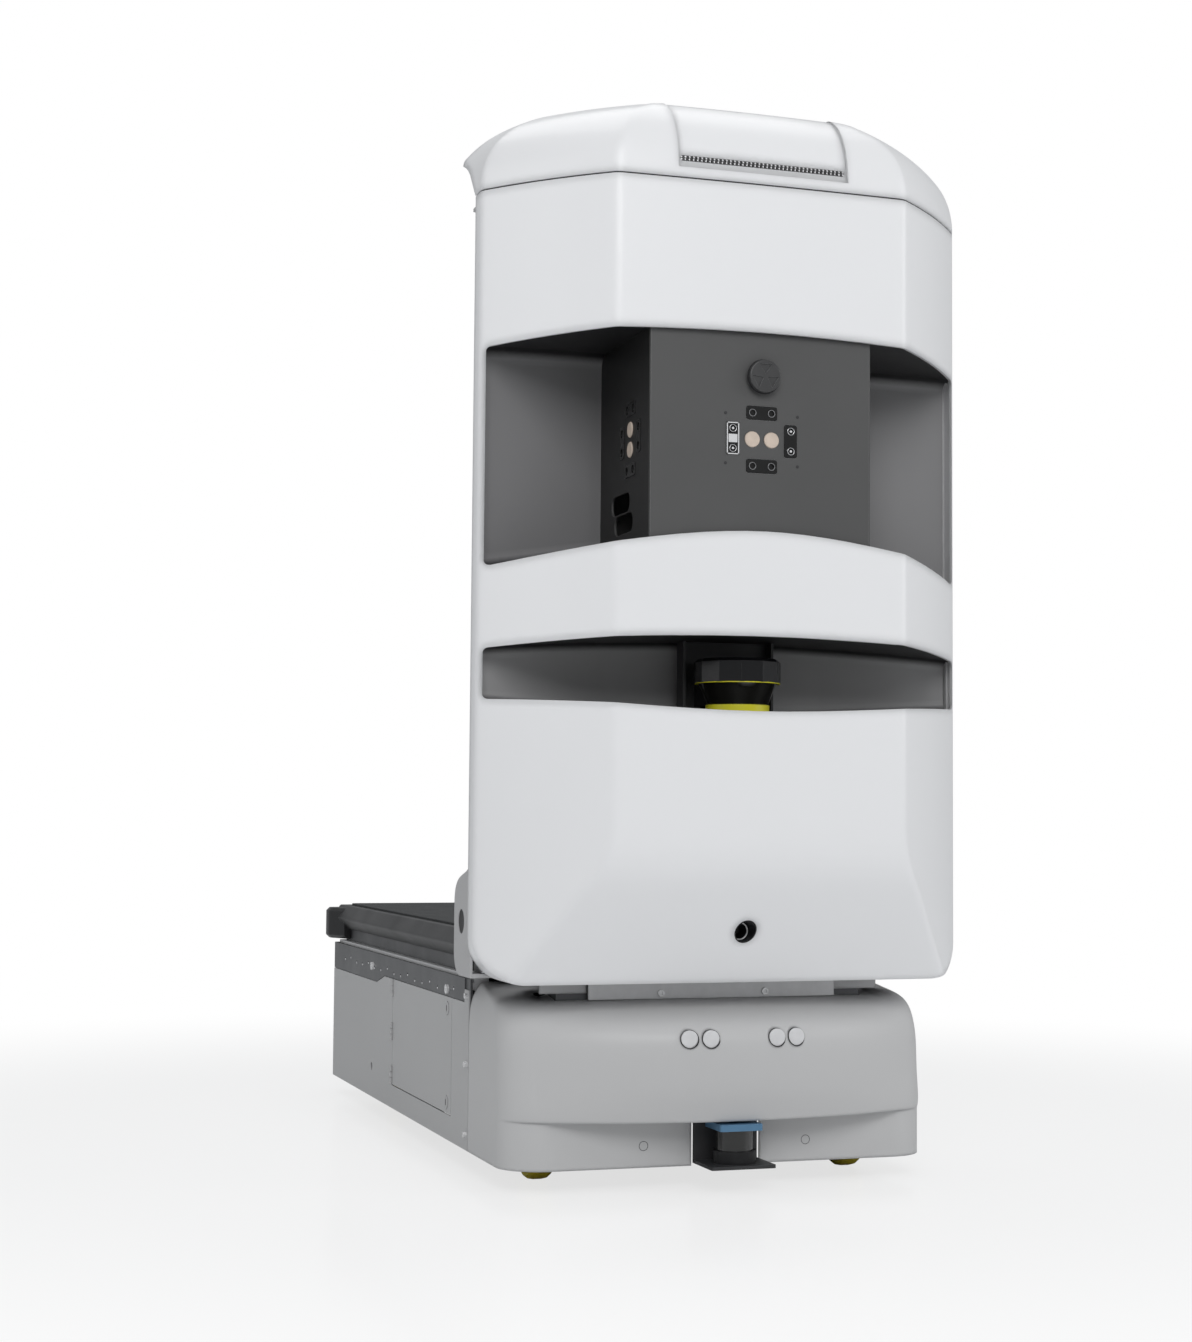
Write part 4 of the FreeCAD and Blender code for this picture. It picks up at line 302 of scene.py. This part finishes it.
# light dots in rows along X and Z, over the colour given
def dotted(tree, links, where, base, dots):
    axes = addNode(tree, "SeparateXYZ")
    links.new(where.outputs["Object"], axes.inputs[0])
    total = addNode(tree, "Math", operation="ADD")
    for index, (axis, pitch) in enumerate((("X", dots["pitch"]), ("Z", dots["rise"]))):
        count = addNode(tree, "Math", {1: pitch}, operation="DIVIDE")
        wave = addNode(tree, "Math", {1: 0.5}, operation="PINGPONG")
        scaled = addNode(tree, "Math", {1: pitch}, operation="MULTIPLY")
        square = addNode(tree, "Math", {1: 2.0}, operation="POWER")
        links.new(axes.outputs[axis], count.inputs[0])
        links.new(count.outputs[0], wave.inputs[0])
        links.new(wave.outputs[0], scaled.inputs[0])
        links.new(scaled.outputs[0], square.inputs[0])
        links.new(square.outputs[0], total.inputs[index])
    inside = addNode(tree, "Math", {1: dots["radius"] ** 2}, operation="LESS_THAN")
    links.new(total.outputs[0], inside.inputs[0])
    return mixed(tree, links, inside, base, dots["color"])


# runs from the base colour to another one as the factor rises
def mixed(tree, links, factor, base, other):
    mix = addNode(tree, "Mix", data_type="RGBA")
    mix.inputs["B"].default_value = (*other, 1.0)
    links.new(factor.outputs[0], mix.inputs["Factor"])
    links.new(base, mix.inputs["A"])
    return mix.outputs["Result"]


def surface(name, look):
    material, tree, links = newMaterial(name)
    out = addNode(tree, "OutputMaterial")
    shader = addNode(tree, "BsdfPrincipled", {
        "Metallic": look.get("metal", common["metal"]),
        "Coat Weight": look.get("coat", common["coat"]),
        "Coat Roughness": common["coatRoughness"],
        "Specular IOR Level": look.get("shine", common["shine"]),
    })
    cloudSize, cloudStrength = look["cloud"]
    grainSize, grainHeight = look["grain"]

    # slow variation of the colour and the gloss
    where = addNode(tree, "TexCoord")
    cloud = addNode(tree, "TexNoise", {"Scale": 1.0 / cloudSize, "Detail": common["cloudDetail"]})
    grain = addNode(tree, "TexNoise", {"Scale": 1.0 / grainSize, "Detail": common["grainDetail"]})
    links.new(where.outputs["Object"], cloud.inputs["Vector"])
    links.new(where.outputs["Object"], grain.inputs["Vector"])
    spans = {"shade": (1.0 - cloudStrength, 1.0 + cloudStrength), "gloss": look["roughness"]}
    ranges = {}
    for key, (lowest, highest) in spans.items():
        ranges[key] = addNode(tree, "MapRange", {
            "From Min": common["cloudFrom"],
            "From Max": common["cloudTo"],
            "To Min": lowest,
            "To Max": highest,
        })
        links.new(cloud.outputs["Fac"], ranges[key].inputs["Value"])
    clouded = addNode(tree, "VectorMath", {0: look["color"]}, operation="SCALE")
    links.new(ranges["shade"].outputs[0], clouded.inputs["Scale"])
    links.new(ranges["gloss"].outputs[0], shader.inputs["Roughness"])

    # softened edges, lighter where they turn: a painted highlight
    soft = addNode(tree, "Bevel", {"Radius": look["round"]}, samples=common["edgeSamples"])
    flat = addNode(tree, "NewGeometry")
    turn = addNode(tree, "VectorMath", operation="DOT_PRODUCT")
    links.new(soft.outputs[0], turn.inputs[0])
    links.new(flat.outputs["Normal"], turn.inputs[1])
    edge_highlight = addNode(tree, "MapRange", {
        "From Min": common["edgeFrom"],
        "From Max": common["edgeTo"],
        "To Max": common["edgeShare"],
    })
    links.new(turn.outputs["Value"], edge_highlight.inputs["Value"])
    color = mixed(tree, links, edge_highlight, clouded.outputs[0], look["edge"])

    # painted shade: the level or the sideways faces of a folded piece may take a darker colour
    for key, axis in (("level", "Z"), ("side", "X")):
        if key not in look:
            continue
        axes = addNode(tree, "SeparateXYZ")
        size = addNode(tree, "Math", operation="ABSOLUTE")
        facing = addNode(tree, "MapRange", {
            "From Min": common["facingFrom"],
            "From Max": common["facingTo"],
        })
        links.new(soft.outputs[0], axes.inputs[0])
        links.new(axes.outputs[axis], size.inputs[0])
        links.new(size.outputs[0], facing.inputs["Value"])
        color = mixed(tree, links, facing, color, look[key])
    if "dots" in look:
        color = dotted(tree, links, where, color, look["dots"])
    links.new(color, shader.inputs["Base Color"])

    # fine relief of the finish
    relief = addNode(tree, "Bump", {
        "Strength": min(1.0, grainHeight * common["reliefGain"]),
        "Distance": grainSize * common["reliefDepth"],
    })
    links.new(grain.outputs["Fac"], relief.inputs["Height"])
    links.new(soft.outputs[0], relief.inputs["Normal"])
    links.new(relief.outputs[0], shader.inputs["Normal"])
    links.new(shader.outputs[0], out.inputs["Surface"])
    return material


surfaces = {name: surface(name, look) for name, look in looks.items()}

# a node takes its record slot's surface unless it is listed here
overrides = {
    # the lower liner takes the lighter copy of the recess grey, as painted light
    "lower_liner": "recess_grey_lit",
    "port_tube": "black_plastic",
    "latch_upper": "panel_grey",
    "latch_lower": "panel_grey",
}
for part in frame["record"]["subparts"]:
    target = nodes[part["node"]]
    target.data.materials.clear()
    target.data.materials.append(surfaces[overrides.get(part["node"], part["material_slot"])])


def addPiece(name, shape, body, slot, look=None, smooth=True):
    mesh = bpy.data.meshes.new(name)
    shape.to_mesh(mesh)
    shape.free()
    piece = bpy.data.objects.new(name, mesh)
    bpy.context.scene.collection.objects.link(piece)
    for face in mesh.polygons:
        face.use_smooth = smooth
    mesh.materials.append(surfaces[look or slot])
    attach(piece, body)


# how finely turned pieces are divided; a head's root and hub are in mm, its edge and top are shares of it
turning = {"hoopSteps": 48, "wireSides": 8, "headSteps": 32, "root": 0.6, "hub": 0.05, "edge": 0.55,
           "top": 0.8}


# round piece from (radius, height) points about an axis, in mm
def turnedShape(outline, centre, axis, steps):
    shape = bmesh.new()
    tilt = Vector(axis).to_track_quat("Z", "Y").to_matrix().to_4x4()
    rings = []
    for radius, height in outline:
        ring = []
        for step in range(steps):
            angle = 2 * math.pi * step / steps
            local = Vector((radius * math.cos(angle), radius * math.sin(angle), height)) / 1000.0
            ring.append(shape.verts.new(centre + tilt @ local))
        rings.append(ring)
    for low, high in zip(rings, rings[1:] + rings[:1]):
        for step in range(steps):
            after = (step + 1) % steps
            shape.faces.new((low[step], low[after], high[after], high[step]))
    return shape


def hoop(name, centre, axis, radius, wire, body, slot, look=None):
    turns = [2 * math.pi * side / turning["wireSides"] for side in range(turning["wireSides"])]
    outline = [(radius + wire * math.cos(turn), wire * math.sin(turn)) for turn in turns]
    addPiece(name, turnedShape(outline, centre, axis, turning["hoopSteps"]), body, slot, look)


# small round head that stands on a face
def head(name, centre, axis, radius, rise, body, slot):
    outline = [(turning["hub"], -turning["root"]), (radius, -turning["root"]),
               (radius, rise * turning["edge"]), (radius * turning["top"], rise), (turning["hub"], rise)]
    addPiece(name, turnedShape(outline, centre, axis, turning["headSteps"]), body, slot)


def block(name, low, high, body, slot):
    shape = bmesh.new()
    bmesh.ops.create_cube(shape, size=1.0)
    for corner in shape.verts:
        corner.co = Vector([low[i] + (corner.co[i] + 0.5) * (high[i] - low[i]) for i in range(3)])
    addPiece(name, shape, body, slot, smooth=False)


# where a line from a point first meets a node, and the node's normal there
def meet(node, start, direction):
    target = nodes[node]
    back = target.matrix_world.inverted()
    hit, point, normal = target.ray_cast(back @ start, back.to_3x3() @ Vector(direction))[:3]
    if not hit:
        raise RuntimeError("no surface on " + node)
    return target.matrix_world @ point, (target.matrix_world.to_3x3() @ normal).normalized()


def frontFace(node, x, z):
    wellAhead = -400
    return meet(node, place(x, wellAhead, z), (0, 1, 0))


# dark rims round the ultrasonic discs
sonar = {"height": 184.0, "spread": 55.0, "pitch": 26.0, "rim": 11.0, "margin": 0.6, "wire": 0.55}
reach = sonar["rim"] + sonar["margin"]
for side in (-1, 1):
    for end in (-1, 1):
        x = side * sonar["spread"] + end * sonar["pitch"] / 2
        right, normal = frontFace("front_fairing", x + reach, sonar["height"])
        left = frontFace("front_fairing", x - reach, sonar["height"])[0]
        hoop("sonar_rim_%d_%d" % (side, end), (right + left) / 2, normal, sonar["rim"],
             sonar["wire"], "base", "black_plastic")

# faint circles on the fairing's lip
plugs = {"spread": 105.0, "height": 52.0, "radius": 5.5, "wire": 0.35}
for side in (-1, 1):
    point, normal = frontFace("front_fairing", side * plugs["spread"], plugs["height"])
    hoop("lip_plug_%d" % side, point, normal, plugs["radius"], plugs["wire"], "base", "dark_steel")

# bright rim of the port's tube
port = {"height": 311.0, "inset": 1.0, "radius": 10.4, "wire": 1.1}
portRim = Vector((0.0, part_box("port_tube")[0].y + port["inset"] / 1000.0, port["height"] / 1000.0))
hoop("port_rim", portRim, (0, -1, 0), port["radius"], port["wire"], "base", "tube_chrome", "port_bright")

# packing between the fairing's roof and the tower, beside the strap
shoulder = {"inner": 162.5, "outer": 222.0, "front": 172.0, "back": 175.8, "low": 232.0, "high": 246.5}
for side in (-1, 1):
    ends = sorted((side * shoulder["inner"], side * shoulder["outer"]))
    block("shoulder_%d" % side, place(ends[0], shoulder["front"], shoulder["low"]),
          place(ends[1], shoulder["back"], shoulder["high"]), "base", "fairing_grey")
print("fairing details ready")

# light plugs in the holes of the left rail; the line that finds the rail's face passes beside each hole
railPlugs = {"first": 396.0, "pitch": 46.0, "count": 17, "height": 219.0, "lift": 5.0, "radius": 1.426,
             "outside": -600.0, "beside": 5.0, "drop": 0.9, "proud": 0.1, "rise": 0.2}
for index in range(railPlugs["count"]):
    y = railPlugs["first"] + railPlugs["pitch"] * index
    z = railPlugs["height"] + (0 if index % 3 else railPlugs["lift"])
    point = meet("chassis", place(railPlugs["outside"], y + railPlugs["beside"], z), (1, 0, 0))[0]
    centre = Vector((point.x - railPlugs["proud"] / 1000.0, place(0, y, 0).y,
                     point.z - railPlugs["drop"] / 1000.0))
    head("rail_plug_%d" % index, centre, (-1, 0, 0), railPlugs["radius"], railPlugs["rise"], "base",
         "screw_steel")

# dark ring and slot on each latch of the door
latches = {
    "heights": {"upper": 196.0, "lower": 74.0},
    "depth": 429.0,
    "radius": 6.3,
    "wire": 0.6,
    "sunk": 0.6,
    "slotLow": (-0.9, -0.8, -3.5),
    "slotHigh": (0.4, 0.8, 3.5),
}
for name, height in latches["heights"].items():
    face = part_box("latch_" + name)[0].x + latches["sunk"] / 1000.0
    centre = Vector((face, place(0, latches["depth"], 0).y, height / 1000.0))
    hoop("latch_ring_" + name, centre, (-1, 0, 0), latches["radius"], latches["wire"], "latch_" + name,
         "black_plastic")
    block("latch_slot_" + name, centre + Vector(latches["slotLow"]) / 1000.0,
          centre + Vector(latches["slotHigh"]) / 1000.0, "latch_" + name, "black_plastic")
print("rail and latch details ready")

# small screws round the sensors on the front face of the block
screws = {"height": 898.0, "spread": 46.0, "rise": 30.0, "radius": 1.9, "proud": 0.5}
for x in (-screws["spread"], screws["spread"]):
    for z in (-screws["rise"], screws["rise"]):
        point, normal = frontFace("sensor_block", x, screws["height"] + z)
        head("block_screw_%d_%d" % (x, z), point, normal, screws["radius"], screws["proud"], "base",
             "bracket_dark")

# light frame and lenses of the front modules
modules = {
    "centre": 898.0,
    "spread": 37.0,
    "rise": 32.0,
    "frameHalf": (7.8, 19.3),
    "frameWidth": 1.3,
    "frameProud": 0.5,
    "labelHalf": (5.6, 5.0),
    "labelProud": 0.3,
    "root": 0.3,
    "apart": 12.0,
    "lens": 4.2,
    "lensProud": 0.4,
    "lensWire": 0.55,
    "crossWire": 0.45,
    "glint": 1.5,
    "glintRise": 0.4,
}
moduleFace = frontFace("sensor_modules", -modules["spread"], modules["centre"])[0].y
moduleDepth = (moduleFace - frontPlane) * 1000.0
lensDepth = moduleDepth - modules["lensProud"]


# flat plate on the face of a module, between two corners in mm
def modulePlate(name, x0, x1, z0, z1, proud):
    block(name, place(x0, moduleDepth - proud, z0), place(x1, moduleDepth + modules["root"], z1),
          "base", "disc_silver")


frameX, frameZ = modules["frameHalf"]
frameBar = modules["frameWidth"]
frameBars = ((-frameX, -frameX + frameBar, -frameZ, frameZ), (frameX - frameBar, frameX, -frameZ, frameZ),
             (-frameX, frameX, -frameZ, -frameZ + frameBar), (-frameX, frameX, frameZ - frameBar, frameZ))
for index, (x0, x1, z0, z1) in enumerate(frameBars):
    modulePlate("module_frame_-1_%d" % index, x0 - modules["spread"], x1 - modules["spread"],
                modules["centre"] + z0, modules["centre"] + z1, modules["frameProud"])
labelX, labelZ = modules["labelHalf"]
modulePlate("module_label_-1", -modules["spread"] - labelX, -modules["spread"] + labelX,
            modules["centre"] - labelZ, modules["centre"] + labelZ, modules["labelProud"])
for side in (-1, 1):
    for end in (-1, 1):
        centre = place(side * modules["spread"], lensDepth, modules["centre"] + end * modules["apart"])
        hoop("module_lens_%d_%d" % (side, end), centre, (0, -1, 0), modules["lens"], modules["lensWire"],
             "base", "stem_steel")
        head("module_glint_%d_%d" % (side, end), centre, (0, -1, 0), modules["glint"],
             modules["glintRise"], "base", "disc_silver")
for side in (-1, 1):
    for end in (-1, 1):
        centre = place(end * modules["apart"], lensDepth, modules["centre"] + side * modules["rise"])
        hoop("cross_lens_%d_%d" % (side, end), centre, (0, -1, 0), modules["lens"], modules["crossWire"],
             "base", "motor_grey")
print("sensor block details ready")

# yellow line under the scanner's hood
scannerLine = {"depth": 85.0, "drop": 0.5, "radius": 51.6, "wire": 0.7}
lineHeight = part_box("scanner_window")[1].z - scannerLine["drop"] / 1000.0
hoop("scanner_line", Vector((0.0, place(0, scannerLine["depth"], 0).y, lineHeight)), (0, 0, 1),
     scannerLine["radius"], scannerLine["wire"], "base", "scanner_yellow")

# dark rim behind the stop button's head
stopRim = {"height": 973.0, "inset": 1.0, "radius": 20.3, "wire": 0.7}
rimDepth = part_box("stop_head")[1].y - stopRim["inset"] / 1000.0
hoop("stop_rim", Vector((0.0, rimDepth, stopRim["height"] / 1000.0)), (0, -1, 0), stopRim["radius"],
     stopRim["wire"], "stop_head", "black_plastic")
print("scanner and stop button details ready")
